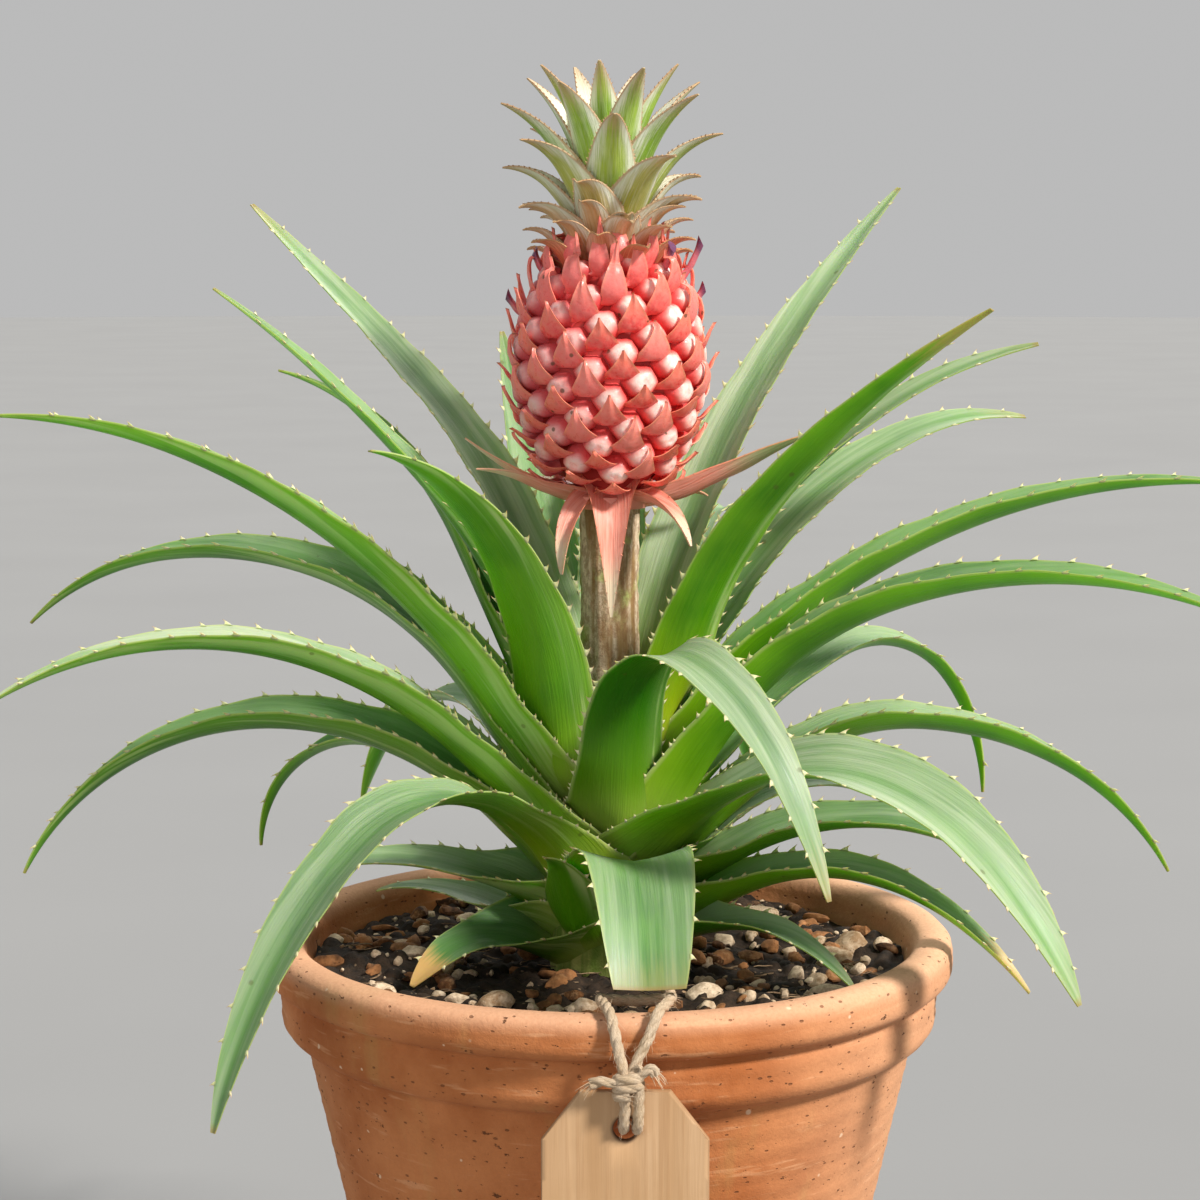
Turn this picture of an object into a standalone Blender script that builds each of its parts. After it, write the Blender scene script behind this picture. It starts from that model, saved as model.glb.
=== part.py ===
"""A potted ornamental pineapple: clay pot, soil, leaf rosette, fruit with its crown, and a name tag on twine.

Metres, +Z up. The origin is the centre of the pot's foot, +X is to the right and the tag hangs on the -Y side.
"""

import math

import bmesh
import bpy
import numpy as np
from mathutils import Matrix, Vector

MM = 0.001
GAP = 0.3 * MM  # clearance between neighbouring pieces
GOLDEN = math.radians(137.508)  # turn from each leaf or fruitlet to the next

# Pot, turned about the Z axis.
POT_HEIGHT = 200 * MM
LIP_RADIUS = 115 * MM
MOUTH_RADIUS = 101.5 * MM
COLLAR_RADIUS = 110 * MM
BODY_RADIUS = 102 * MM  # just under the collar
FOOT_RADIUS = 64 * MM
FLOOR = 12 * MM
FLOOR_RADIUS = 57 * MM  # inside
DRAIN_RADIUS = 6 * MM
DRAIN_OFFSET = 30 * MM
POT_SIDES = 40

# Heights below are measured up from the pot's rim, as RIM + height.
RIM = POT_HEIGHT
SOIL_LEVEL = RIM - 12 * MM

# Stem: a leafy core that stands in the soil and narrows into the fruit's stalk.
CORE_FOOT_RADIUS = 20 * MM
STALK_RADIUS = 10 * MM
CORE_TOP = RIM + 78 * MM
STEM_FOOT = RIM - 26 * MM
FRUIT_FOOT = RIM + 147 * MM

# Fruit and crown.
FRUIT_RADIUS = 27 * MM
FRUIT_HEIGHT = 79 * MM
FRUITLETS = 100
CROWN_FOOT = FRUIT_FOOT + FRUIT_HEIGHT + GAP
CROWN_LEAVES = 24

# Leaf blades.
BASE_SHARE = 1.1  # width of a leaf's base, as a share of the core's radius there
BASE_SPREAD = 40 * MM  # run along which a leaf widens from its base
BASE_RISE = math.radians(42)  # steepest start of a leaf at the core
BASE_TURN = 16 * MM  # run along which a leaf turns to its own rise
MARGIN_THICKNESS = 0.8 * MM
RIB_THICKNESS = 2.2 * MM
SPINE_LENGTH = 2.6 * MM
SPINE_ROOT = 2.8 * MM
SPINE_SPACING = 24 * MM

# Every leaf: heading at the core, height of its base above the rim, length, width, the rises that its
# midline takes at even steps from base to tip, turn of heading from base to tip, depth of its channel as a
# share of half its width, and roll of its section near the base and at the tip.
# Angles are in degrees, and sizes in millimetres.
LEAVES = {
    "leaf_left_01": (138, 71, 242, 25, (76, 60, 39, 35, 35), 0, 0.45, (0, -8)),
    "leaf_left_02": (-178, 60, 196, 24, (78, 67, 50, 44, 36), 0, 0.5, (0, -10)),
    "leaf_left_03": (163, 50, 176, 20, (70, 65, 64, 44, 14), 0, 0.6, (-5, -10)),
    "leaf_left_04": (-143, 48, 150, 31, (85, 80, 62, 42, 12), 0, 0.3, (35, 10)),
    "leaf_left_05": (-173, 42, 236, 24, (60, 53, 38, 22, 2), 0, 0.7, (-6, -15)),
    "leaf_left_06": (164, 31, 240, 25, (63, 52, 19, -8, -42), 0, 0.55, (-15, -25)),
    "leaf_left_07": (-165, 24.5, 216, 24, (55, 43, 21, -5, -30), 0, 0.7, (-10, -15)),
    "leaf_left_08": (179, 18.5, 214, 23, (50, 32, 2, -30, -62), 0, 0.65, (-12, -15)),
    "leaf_left_09": (152, 12, 158, 21, (45, 35, 14, -35, -85), 0, 0.6, (-10, -10)),
    "leaf_left_10": (-137, 15, 202, 29, (68, 24, -36, -58, -75), -8, 0.3, (10, -35)),
    "leaf_left_11": (-174, 4, 86, 22, (42, 24, 12, 0, -28), 0, 0.4, (-10, -15)),
    "leaf_left_12": (160, -4, 68, 18, (25, 18, 12, 0, -20), 0, 0.3, (-10, -10)),
    "leaf_left_13": (-149, -8, 62, 22, (28, 22, 5, -25, -40), 10, 0.3, (-10, -20)),
    "leaf_right_01": (47, 74, 230, 25, (82, 60, 48, 40, 36), 0, 0.45, (5, 10)),
    "leaf_right_02": (-37, 58, 204, 31, (78, 66, 47, 37, 30), 0, 0.3, (-35, -25)),
    "leaf_right_03": (-3, 66, 190, 24, (78, 64, 47, 32, 12), 0, 0.45, (10, 30)),
    "leaf_right_04": (23, 54, 198, 24, (78, 58, 42, 22, -8), 0, 0.45, (15, 28)),
    "leaf_right_05": (1, 48, 230, 23, (66, 42, 28, 12, -4), 0, 0.7, (0, 12)),
    "leaf_right_06": (-18, 32, 230, 24, (67, 50, 21, 0, -22), 0, 0.7, (0, 12)),
    "leaf_right_07": (28, 28, 192, 21, (50, 42, 21, -50, -86), 0, 0.6, (10, 10)),
    "leaf_right_08": (4, 18, 208, 23, (46, 38, -4, -30, -60), 0, 0.65, (12, 18)),
    "leaf_right_09": (-33, 23, 188, 29, (55, 26, -16, -46, -62), 0, 0.35, (10, 35)),
    "leaf_right_10": (-78, 34, 188, 28, (88, 84, 46, -12, -40, -62, -72), 44, 0.25, (0, 20)),
    "leaf_right_11": (-6, 0, 132, 21, (34, 24, 6, -18, -36), 0, 0.6, (10, 15)),
    "leaf_right_12": (-40, -5, 86, 18, (35, 20, 5, -20, -38), 0, 0.5, (5, 10)),
    "leaf_right_13": (-22, 9, 134, 22, (40, 28, 8, -14, -34), 0, 0.6, (10, 20)),
    "leaf_right_14": (46, 4, 124, 22, (42, 30, 10, -5, -20), 0, 0.5, (8, 10)),
    "leaf_right_15": (22, 13, 105, 22, (50, 38, 15, -15, -30), 0, 0.5, (12, 20)),
    "leaf_back_01": (88, 66, 190, 25, (72, 60, 54, 48, 40), 0, 0.5, (0, 0)),
    "leaf_back_02": (111, 57, 168, 25, (65, 52, 55, 58, 60), 0, 0.5, (0, 0)),
    "leaf_back_03": (72, 43, 200, 24, (70, 50, 30, 0, -30), 0, 0.6, (5, 5)),
    "leaf_back_04": (98, 36, 205, 24, (62, 48, 30, 0, -30), 0, 0.6, (-5, -5)),
    "leaf_back_05": (71, 24, 190, 24, (50, 30, 0, -35, -60), 0, 0.6, (5, 5)),
    "leaf_back_06": (122, 20, 195, 24, (50, 30, 0, -35, -60), 0, 0.6, (-5, -5)),
    "leaf_back_07": (90, 8, 150, 23, (42, 28, 5, -20, -45), 0, 0.5, (0, 0)),
    "leaf_front_01": (-113, -1, 44, 20, (50, 66, 62, 20), -12, 0.35, (0, 0)),
    "leaf_back_08": (124, 47, 105, 20, (60, 60, 55, 48), 0, 0.5, (0, 0)),
}
CUT_LEAF = (-81, 7, 107, 30, (52, 42, 2, -42, -62), -6, 0.2, (0, 0))
CUT_LEAF_END = 20 * MM  # width that its cut end keeps

# Pink bracts below the fruit, given in the same way; heights are above the rim.
FRUIT_BRACTS = [
    (-88, 144, 38, 23, (-30, -78, -90, -92), 0, 0.3, (0, 0)),
    (-132, 144, 24, 10, (-5, -40, -75), 0, 0.3, (0, 0)),
    (-42, 144, 24, 10, (0, -35, -80), 0, 0.3, (0, 0)),
    (-8, 143, 58, 12, (4, 28, 28, 24), 0, 0.3, (-30, -40)),
    (176, 143, 42, 10, (2, 20, 36), 0, 0.3, (20, 20)),
    (-162, 144, 36, 10, (2, 12, 26), 0, 0.3, (20, 20)),
    (35, 144, 30, 11, (5, 5, -20), 0, 0.3, (0, 0)),
    (80, 144, 22, 14, (-10, -30, -60), 0, 0.3, (0, 0)),
    (128, 144, 30, 11, (5, 15, 5), 0, 0.3, (0, 0)),
]
BRACT_RING_TOP = FRUIT_FOOT - GAP
BRACT_RING_HEIGHT = 5 * MM
BRACT_RING_WALL = 2 * MM

# Tag and twine.
TAG_WIDTH = 50 * MM
TAG_LENGTH = 80 * MM
TAG_TOP_WIDTH = 27 * MM
TAG_CLIP = 15 * MM
TAG_THICKNESS = 2.5 * MM
TAG_HOLE_RADIUS = 3.6 * MM
TAG_HOLE_DROP = 11.6 * MM  # hole centre below the top edge
TAG_CENTRE_X = 4.5 * MM
TAG_Y = -117 * MM
TAG_TOP = RIM - 20.5 * MM
TWINE_RADIUS = 1.7 * MM


def material(name, colour, roughness):
    made = bpy.data.materials.new(name)
    made.use_nodes = True
    shader = made.node_tree.nodes["Principled BSDF"]
    shader.inputs["Base Color"].default_value = (*colour, 1.0)
    shader.inputs["Roughness"].default_value = roughness
    shader.inputs["Metallic"].default_value = 0.0
    return made


def new_object(name, mesh, collection, finish=None):
    made = bpy.data.objects.new(name, mesh)
    collection.objects.link(made)
    if finish:
        mesh.materials.append(finish)
    return made


def mesh_from(name, form):
    """The bmesh as a smooth-shaded mesh, with its faces turned outwards."""
    bmesh.ops.recalc_face_normals(form, faces=form.faces)
    mesh = bpy.data.meshes.new(name)
    form.to_mesh(mesh)
    form.free()
    mesh.shade_smooth()
    mesh.set_sharp_from_angle(angle=math.radians(40))
    return mesh


def loft(name, rings, spikes=None):
    """A closed solid through rings of points. spikes gives, for (ring, column), the point on which the wall
    after that ring and column closes, which makes a spine there."""
    spikes = spikes or {}
    form = bmesh.new()
    corners = [[form.verts.new(point) for point in ring] for ring in rings]
    columns = len(rings[0])
    for row in range(len(rings) - 1):
        for column in range(columns):
            after = (column + 1) % columns
            wall = [
                corners[row][column],
                corners[row][after],
                corners[row + 1][after],
                corners[row + 1][column],
            ]
            if (row, column) not in spikes:
                form.faces.new(wall)
                continue
            point = form.verts.new(spikes[row, column])
            for here, there in zip(wall, wall[1:] + wall[:1]):
                form.faces.new((here, there, point))
    form.faces.new(corners[0][::-1])
    form.faces.new(corners[-1])
    return mesh_from(name, form)


def union(name, pieces, collection, finish, solver="EXACT"):
    """One body made of overlapping pieces, which it uses up."""
    body, *others = pieces
    helpers = bpy.data.collections.new(name + "_pieces")
    for piece in others:
        for holder in piece.users_collection:
            holder.objects.unlink(piece)
        helpers.objects.link(piece)
    join = body.modifiers.new("Join", "BOOLEAN")
    join.operation = "UNION"
    join.operand_type = "COLLECTION"
    join.collection = helpers
    join.solver = solver
    bpy.context.view_layer.update()
    graph = bpy.context.evaluated_depsgraph_get()
    mesh = bpy.data.meshes.new_from_object(body.evaluated_get(graph))
    for piece in pieces:
        bpy.data.objects.remove(piece)
    bpy.data.collections.remove(helpers)
    mesh.name = name
    mesh.materials.clear()
    mesh.shade_smooth()
    mesh.set_sharp_from_angle(angle=math.radians(40))
    return new_object(name, mesh, collection, finish)


def core_radius(height):
    """Radius of the stem at a height above the ground."""
    share = np.clip((height - SOIL_LEVEL) / (CORE_TOP - SOIL_LEVEL), 0, 1)
    return CORE_FOOT_RADIUS + (STALK_RADIUS + 1 * MM - CORE_FOOT_RADIUS) * share


def smooth_step(value):
    value = np.clip(value, 0, 1)
    return value * value * (3 - 2 * value)


def midline(heading, start, length, rises, turn, base_rise=BASE_RISE, steps=160):
    """A blade's midline: at each small step it goes on in its own direction, whose rise is read from rises and
    whose heading turns evenly. Returns the runs, points and directions."""
    run = np.linspace(0, length, steps + 1)
    share = run / length
    rise = np.radians(np.interp(share, np.linspace(0, 1, len(rises)), rises))
    base = np.minimum(rise, base_rise)
    rise = base + (rise - base) * smooth_step(run / BASE_TURN)
    heading = math.radians(heading) + math.radians(turn) * share
    direction = np.stack(
        [np.cos(rise) * np.cos(heading), np.cos(rise) * np.sin(heading), np.sin(rise)], axis=1
    )
    middle = (direction[1:] + direction[:-1]) / 2 * (length / steps)
    points = np.vstack([np.zeros(3), np.cumsum(middle, axis=0)]) + start
    side = np.stack([-np.sin(heading), np.cos(heading), 0 * heading], axis=1)
    return run, points, direction, side


def blade(name, row, spacing=SPINE_SPACING, spine=SPINE_LENGTH, first_spine=0.17, end_width=1.6 * MM,
          start_radius=None, base_width=None, spread=BASE_SPREAD, base_rise=BASE_RISE, rib=RIB_THICKNESS):
    """One channelled blade with spines along both margins, as a loft of six-cornered sections."""
    heading, height, length, width, rises, turn, channel, (roll_base, roll_tip) = row
    length, width, height = length * MM, width * MM, RIM + height * MM
    start_radius = start_radius or core_radius(height) + 2 * GAP
    base_width = base_width or BASE_SHARE * core_radius(height)
    angle = math.radians(heading)
    start = np.array([start_radius * math.cos(angle), start_radius * math.sin(angle), height])
    run, points, direction, side = midline(heading, start, length, rises, turn, base_rise)
    count = max(round(length * (0.93 - first_spine) / spacing), 1)
    middles = length * np.linspace(first_spine, 0.93, count + 1)
    roots = np.stack([middles - SPINE_ROOT / 2, middles + SPINE_ROOT / 2], axis=1).ravel()
    stations = np.concatenate([[0], roots, [length]])
    place, along, across = (
        np.stack([np.interp(stations, run, values[:, k]) for k in range(3)], axis=1)
        for values in (points, direction, side)
    )
    up = np.cross(along, across)
    up /= np.linalg.norm(up, axis=1)[:, None]
    share = stations / length
    roll = roll_base + (roll_tip - roll_base) * share
    roll = np.radians(roll * smooth_step(share / 0.25))[:, None]
    across, up = across * np.cos(roll) + up * np.sin(roll), up * np.cos(roll) - across * np.sin(roll)
    base_share = min(base_width / width, 1)
    widen = base_share + (1 - base_share) * smooth_step(stations / spread)
    half = (width - end_width) / 2 * widen * (1 - share**2.2) ** 0.9 + end_width / 2
    lift = half * (0.3 + (channel - 0.3) * smooth_step(stations / spread)) * (1 - 0.4 * share)
    depth = MARGIN_THICKNESS + (rib - MARGIN_THICKNESS) * (1 - share)
    half, lift, depth = half[:, None], lift[:, None], depth[:, None]
    left = place + across * half + up * lift
    right = place - across * half + up * lift
    edge = up * MARGIN_THICKNESS
    rings = np.stack([left, place, right, right - edge, place - up * depth, left - edge], axis=1)
    spikes = {}
    for row_index in range(1, len(roots), 2):
        for column, sign, corner in ((5, 1, 0), (2, -1, 2)):
            root = (rings[row_index][corner] + rings[row_index + 1][corner] - edge[row_index]) / 2
            outward = across[row_index] * sign + up[row_index] * 0.5 * channel
            reach = outward * spine * (1 - 0.35 * share[row_index])
            spikes[row_index, column] = root + reach + along[row_index] * SPINE_ROOT * 0.5
    return loft(name, rings, spikes)


def make_pot(collection):
    """A turned clay pot with a rolled lip, a collar below it and three drain holes."""
    profile = [
        (MOUTH_RADIUS, POT_HEIGHT - 4.5 * MM),
        (MOUTH_RADIUS + 1.6 * MM, POT_HEIGHT - 1.2 * MM),
        (MOUTH_RADIUS + 4.5 * MM, POT_HEIGHT),
        (LIP_RADIUS - 4.5 * MM, POT_HEIGHT),
        (LIP_RADIUS - 1.2 * MM, POT_HEIGHT - 1.8 * MM),
        (LIP_RADIUS, POT_HEIGHT - 5 * MM),
        (LIP_RADIUS, POT_HEIGHT - 10 * MM),
        (LIP_RADIUS - 1.5 * MM, POT_HEIGHT - 13 * MM),
        (COLLAR_RADIUS - 0.8 * MM, POT_HEIGHT - 15 * MM),
        (COLLAR_RADIUS, POT_HEIGHT - 17.5 * MM),
        (COLLAR_RADIUS - 0.8 * MM, POT_HEIGHT - 28 * MM),
        (COLLAR_RADIUS - 3 * MM, POT_HEIGHT - 31 * MM),
        (BODY_RADIUS, POT_HEIGHT - 33 * MM),
        (FOOT_RADIUS + 1.5 * MM, 2 * MM),
        (FOOT_RADIUS, 0),
        (0, 0),
    ]
    inside = [(0, FLOOR), (FLOOR_RADIUS - 4 * MM, FLOOR), (FLOOR_RADIUS, FLOOR + 4 * MM)]
    form = bmesh.new()
    corners = [form.verts.new((radius, 0, height)) for radius, height in inside + profile]
    # The foot's centre and the floor's centre lie on the axis, so the profile is an open line between them.
    for here, there in zip(corners, corners[1:]):
        form.edges.new((here, there))
    mesh = bpy.data.meshes.new("pot")
    form.to_mesh(mesh)
    form.free()
    pot = new_object("pot", mesh, collection, material("terracotta", (0.62, 0.28, 0.15), 0.85))
    screw = pot.modifiers.new("Turn", "SCREW")
    screw.steps = screw.render_steps = POT_SIDES
    screw.use_merge_vertices = True
    screw.merge_threshold = 0.00001
    screw.use_normal_calculate = True
    helpers = bpy.data.collections["cutters"]
    for number in range(3):
        angle = math.tau * (number + 0.25) / 3
        bpy.ops.mesh.primitive_cylinder_add(
            vertices=14,
            radius=DRAIN_RADIUS,
            depth=4 * FLOOR,
            location=(DRAIN_OFFSET * math.cos(angle), DRAIN_OFFSET * math.sin(angle), FLOOR / 2),
        )
        cutter = bpy.context.object
        cutter.name = f"drain_cutter_{number + 1}"
        move_to(cutter, helpers)
        cutter.hide_render = True
        cutter.display_type = "WIRE"
    cut = pot.modifiers.new("Drain", "BOOLEAN")
    cut.operation = "DIFFERENCE"
    cut.operand_type = "COLLECTION"
    cut.collection = helpers
    return pot


def move_to(obj, collection):
    for holder in obj.users_collection:
        holder.objects.unlink(obj)
    collection.objects.link(obj)


def soil_height(x, y):
    """Height of the soil's uneven top."""
    return SOIL_LEVEL + (1.6 * np.sin(70 * x + 1.0) * np.cos(55 * y) + 1.0 * np.sin(120 * y + 60 * x)) * MM


def make_soil(collection):
    """Soil that fills the pot, with a plain hole for the stem and pumice and bark fused into its top."""
    sides = 36
    angles = np.linspace(0, math.tau, sides, endpoint=False)
    slope = (MOUTH_RADIUS - FLOOR_RADIUS) / (POT_HEIGHT - 4.5 * MM - FLOOR - 4 * MM)

    def wall(height):
        return FLOOR_RADIUS + slope * (height - FLOOR - 4 * MM) - 1.5 * GAP

    def ring(radius, height=None):
        x = radius * np.cos(angles)
        y = radius * np.sin(angles)
        z = soil_height(x, y) if height is None else np.full(sides, height)
        return np.stack([x, y, z], axis=1)

    hole = CORE_FOOT_RADIUS + GAP
    rings = [
        ring(FLOOR_RADIUS - 5 * MM, FLOOR + GAP),
        ring(wall(FLOOR + 5 * MM) - 0.4 * MM, FLOOR + 5 * MM),
        ring(wall(SOIL_LEVEL - 5 * MM), SOIL_LEVEL - 5 * MM),
        ring(wall(SOIL_LEVEL) - 0.6 * MM),
        ring(78 * MM),
        ring(58 * MM),
        ring(38 * MM),
        ring(hole),
        ring(hole, STEM_FOOT - GAP),
    ]
    bed = new_object("soil_bed", loft("soil_bed", rings), collection)
    pieces = [bed]
    random = np.random.default_rng(7)
    for number in range(32):
        radius = math.sqrt(random.uniform(0.14, 0.86)) * 98 * MM
        angle = number * GOLDEN
        x, y = radius * math.cos(angle), radius * math.sin(angle)
        stone = number % 5 < 3
        size = random.uniform(2.6, 5.6) * MM if stone else random.uniform(3, 5.5) * MM
        reach = radius + 1.4 * size
        if reach > 95 * MM:
            radius -= reach - 95 * MM
            x, y = radius * math.cos(angle), radius * math.sin(angle)
        form = bmesh.new()
        if stone:
            bmesh.ops.create_icosphere(form, subdivisions=1, radius=1)
            scale = (size * random.uniform(1.0, 1.35), size, size * random.uniform(0.6, 0.8))
        else:
            bmesh.ops.create_cube(form, size=1)
            scale = (size * 2.4, size * random.uniform(0.9, 1.5), size * 0.7)
        tilt = random.uniform(-0.3, 0.3)
        place = (
            Matrix.Translation((x, y, float(soil_height(x, y)) + (0.15 if stone else 0.05) * size))
            @ Matrix.Rotation(random.uniform(0, math.tau), 4, "Z")
            @ Matrix.Rotation(tilt, 4, "X")
            @ Matrix.Rotation(-tilt * 0.7, 4, "Y")
            @ Matrix.Diagonal((*scale, 1))
        )
        form.transform(place)
        pieces.append(new_object(f"lump_{number}", mesh_from(f"lump_{number}", form), collection))
    return union("soil", pieces, collection, material("soil", (0.035, 0.022, 0.016), 0.95))


def make_stem(collection):
    """The leafy core, from its foot in the soil to the stalk that carries the fruit."""
    profile = [
        (0, FRUIT_FOOT - 2 * GAP),
        (STALK_RADIUS, FRUIT_FOOT - 2 * GAP),
        (STALK_RADIUS, CORE_TOP + 12 * MM),
        (STALK_RADIUS + 1 * MM, CORE_TOP),
        (CORE_FOOT_RADIUS, SOIL_LEVEL),
        (CORE_FOOT_RADIUS - 1 * MM, STEM_FOOT),
        (0, STEM_FOOT),
    ]
    form = bmesh.new()
    corners = [form.verts.new((radius, 0, height)) for radius, height in profile]
    for here, there in zip(corners, corners[1:]):
        form.edges.new((here, there))
    mesh = bpy.data.meshes.new("stem")
    form.to_mesh(mesh)
    form.free()
    stem = new_object("stem", mesh, collection, material("stem", (0.33, 0.25, 0.13), 0.8))
    screw = stem.modifiers.new("Turn", "SCREW")
    screw.steps = screw.render_steps = 20
    screw.use_merge_vertices = True
    screw.merge_threshold = 0.00001
    screw.use_normal_calculate = True
    return stem


def make_leaves(collection):
    """All whole leaves, and the front one whose end was cut straight."""
    finish = material("leaf", (0.16, 0.38, 0.07), 0.4)
    for name, row in LEAVES.items():
        new_object(name, blade(name, row), collection, finish)
    cut = blade("leaf_front_cut", CUT_LEAF, end_width=CUT_LEAF_END)
    new_object("leaf_front_cut", cut, collection, finish)


def fruit_place(number):
    """Centre and outward direction of a fruitlet. They follow one spiral with the golden angle between them, and
    each takes an equal share of the ovoid's skin."""
    share = min(max((number + 9) / (FRUITLETS + 18), 0.01), 0.99)
    tilt = math.radians(164 - 146 * share)
    angle = number * GOLDEN
    radius = FRUIT_RADIUS * math.sin(tilt) ** 0.62
    height = FRUIT_FOOT + FRUIT_HEIGHT * share
    outward = Vector((math.cos(angle) * math.sin(tilt) ** 0.4, math.sin(angle) * math.sin(tilt) ** 0.4,
                      math.cos(tilt) * 0.55))
    return Vector((radius * math.cos(angle), radius * math.sin(angle), height)), outward.normalized()


def make_fruit(collection):
    """The fruit as one skin of six-sided fruitlets. Fruitlet n touches n + 5, n + 8 and n + 13, so each corner
    of its cell is the middle of three neighbours. Its shoulder is raised, and its bract ends in a point."""
    form = bmesh.new()
    grooves = {}

    def groove(first, kind):
        if (first, kind) not in grooves:
            members = [fruit_place(first + step)[0] for step in (0, kind, 13)]
            grooves[first, kind] = form.verts.new(sum(members, Vector()) / 3)
        return grooves[first, kind]

    for number in range(FRUITLETS):
        centre, outward = fruit_place(number)
        cell = [
            groove(number, 5),
            groove(number, 8),
            groove(number - 5, 5),
            groove(number - 13, 8),
            groove(number - 13, 5),
            groove(number - 8, 8),
        ]
        shoulder = [
            form.verts.new(centre.lerp(corner.co, 0.68) + outward * 3.4 * MM) for corner in cell
        ]
        top = number / FRUITLETS
        down = Vector((0, 0, 1.0 + 2.6 * top - 1.4)) * 1.4 * MM
        point = form.verts.new(centre + outward * (6.6 + 1.5 * top) * MM + down)
        for k in range(6):
            after = (k + 1) % 6
            form.faces.new((cell[k], cell[after], shoulder[after], shoulder[k]))
            form.faces.new((shoulder[k], shoulder[after], point))
    for height, low in ((FRUIT_FOOT, True), (FRUIT_FOOT + FRUIT_HEIGHT, False)):
        rim = [
            edge
            for edge in form.edges
            if edge.is_boundary and (edge.verts[0].co.z < FRUIT_FOOT + FRUIT_HEIGHT / 2) == low
        ]
        pole = form.verts.new((0, 0, height))
        for edge in rim:
            form.faces.new((*edge.verts, pole))
    mesh = mesh_from("fruit", form)
    return new_object("fruit", mesh, collection, material("fruit", (0.74, 0.16, 0.13), 0.35))


def make_crown(collection):
    """The tuft of short toothed leaves on the fruit, fused to a small core."""
    form = bmesh.new()
    bmesh.ops.create_cone(
        form, cap_ends=True, segments=10, radius1=14 * MM, radius2=5 * MM, depth=22 * MM,
        matrix=Matrix.Translation((0, 0, CROWN_FOOT + 11 * MM)),
    )
    pieces = [new_object("crown_core", mesh_from("crown_core", form), collection)]
    for number in range(CROWN_LEAVES):
        share = number / (CROWN_LEAVES - 1)
        length = 23 + 24 * math.sin(math.pi * (0.05 + 0.68 * share))
        width = 12 + 5 * math.sin(math.pi * share)
        base = 16 + 52 * share
        rises = (base + 8, base + 10, base - 22)
        height = (CROWN_FOOT - RIM) / MM + 3.2 + 16 * share
        row = (math.degrees(number * GOLDEN) - 75, height, length, width, rises, 0, 0.35, (0, 0))
        name = f"crown_leaf_{number}"
        mesh = blade(
            name, row, spacing=16 * MM, spine=1.5 * MM, first_spine=0.55, end_width=1.2 * MM,
            start_radius=(10 - 8 * share) * MM, base_width=width * 0.8 * MM, spread=8 * MM, base_rise=math.radians(85),
            rib=1.8 * MM,
        )
        pieces.append(new_object(name, mesh, collection))
    return union("crown", pieces, collection, material("crown", (0.30, 0.42, 0.16), 0.45))


def make_bracts(collection):
    """A ring round the top of the stalk with the long pink bracts that grow from it."""
    sides = 18
    angles = np.linspace(0, math.tau, sides, endpoint=False)
    inner = STALK_RADIUS + GAP
    outline = [
        (inner, BRACT_RING_TOP - BRACT_RING_HEIGHT),
        (inner + BRACT_RING_WALL, BRACT_RING_TOP - BRACT_RING_HEIGHT),
        (inner + BRACT_RING_WALL, BRACT_RING_TOP - 1.5 * MM),
        (inner + 0.5 * MM, BRACT_RING_TOP - 0.3 * MM),
        (inner, BRACT_RING_TOP - 0.5 * MM),
    ]
    form = bmesh.new()
    loops = [
        [form.verts.new((radius * math.cos(a), radius * math.sin(a), z)) for a in angles]
        for radius, z in outline
    ]
    for here, there in zip(loops, loops[1:] + loops[:1]):
        for k in range(sides):
            after = (k + 1) % sides
            form.faces.new((here[k], here[after], there[after], there[k]))
    pieces = [new_object("bract_ring", mesh_from("bract_ring", form), collection)]
    for number, row in enumerate(FRUIT_BRACTS):
        name = f"bract_{number}"
        mesh = blade(
            name, row, spacing=30 * MM, spine=0.8 * MM, first_spine=0.4, end_width=1.2 * MM,
            start_radius=inner + 0.8 * MM, base_width=row[3] * MM, rib=1.5 * MM,
        )
        pieces.append(new_object(name, mesh, collection))
    finish = material("bract", (0.80, 0.30, 0.26), 0.5)
    return union("fruit_bracts", pieces, collection, finish, solver="MANIFOLD")


def make_tag(collection):
    """A thin wooden tag with clipped top corners and one hole."""
    half = TAG_WIDTH / 2
    top = TAG_TOP_WIDTH / 2
    outline = [
        (-top, 0),
        (-half, -TAG_CLIP),
        (-half, -TAG_LENGTH),
        (half, -TAG_LENGTH),
        (half, -TAG_CLIP),
        (top, 0),
    ]
    angles = np.linspace(0, math.tau, 16, endpoint=False)
    hole = [
        (TAG_HOLE_RADIUS * math.cos(a), TAG_HOLE_RADIUS * math.sin(a) - TAG_HOLE_DROP) for a in angles
    ]
    curve = bpy.data.curves.new("tag_outline", "CURVE")
    curve.dimensions = "2D"
    curve.fill_mode = "BOTH"
    curve.extrude = TAG_THICKNESS / 2
    for points in (outline, hole):
        spline = curve.splines.new("POLY")
        spline.points.add(len(points) - 1)
        for point, (x, y) in zip(spline.points, points):
            point.co = (x, y, 0, 1)
        spline.use_cyclic_u = True
    guide = bpy.data.objects.new("tag_guide", curve)
    collection.objects.link(guide)
    guide.location = (TAG_CENTRE_X, TAG_Y, TAG_TOP)
    guide.rotation_euler = (math.radians(90), 0, 0)
    return solid_from_curve("tag", guide, collection, material("birch", (0.72, 0.50, 0.30), 0.6))


def solid_from_curve(name, guide, collection, finish=None):
    """The curve object as a closed mesh object. The curve is removed."""
    bpy.context.view_layer.update()
    graph = bpy.context.evaluated_depsgraph_get()
    mesh = bpy.data.meshes.new_from_object(guide.evaluated_get(graph))
    mesh.transform(guide.matrix_world)
    form = bmesh.new()
    form.from_mesh(mesh)
    bmesh.ops.remove_doubles(form, verts=form.verts, dist=0.00001)
    bpy.data.objects.remove(guide)
    bpy.data.meshes.remove(mesh)
    return new_object(name, mesh_from(name, form), collection, finish)


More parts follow.
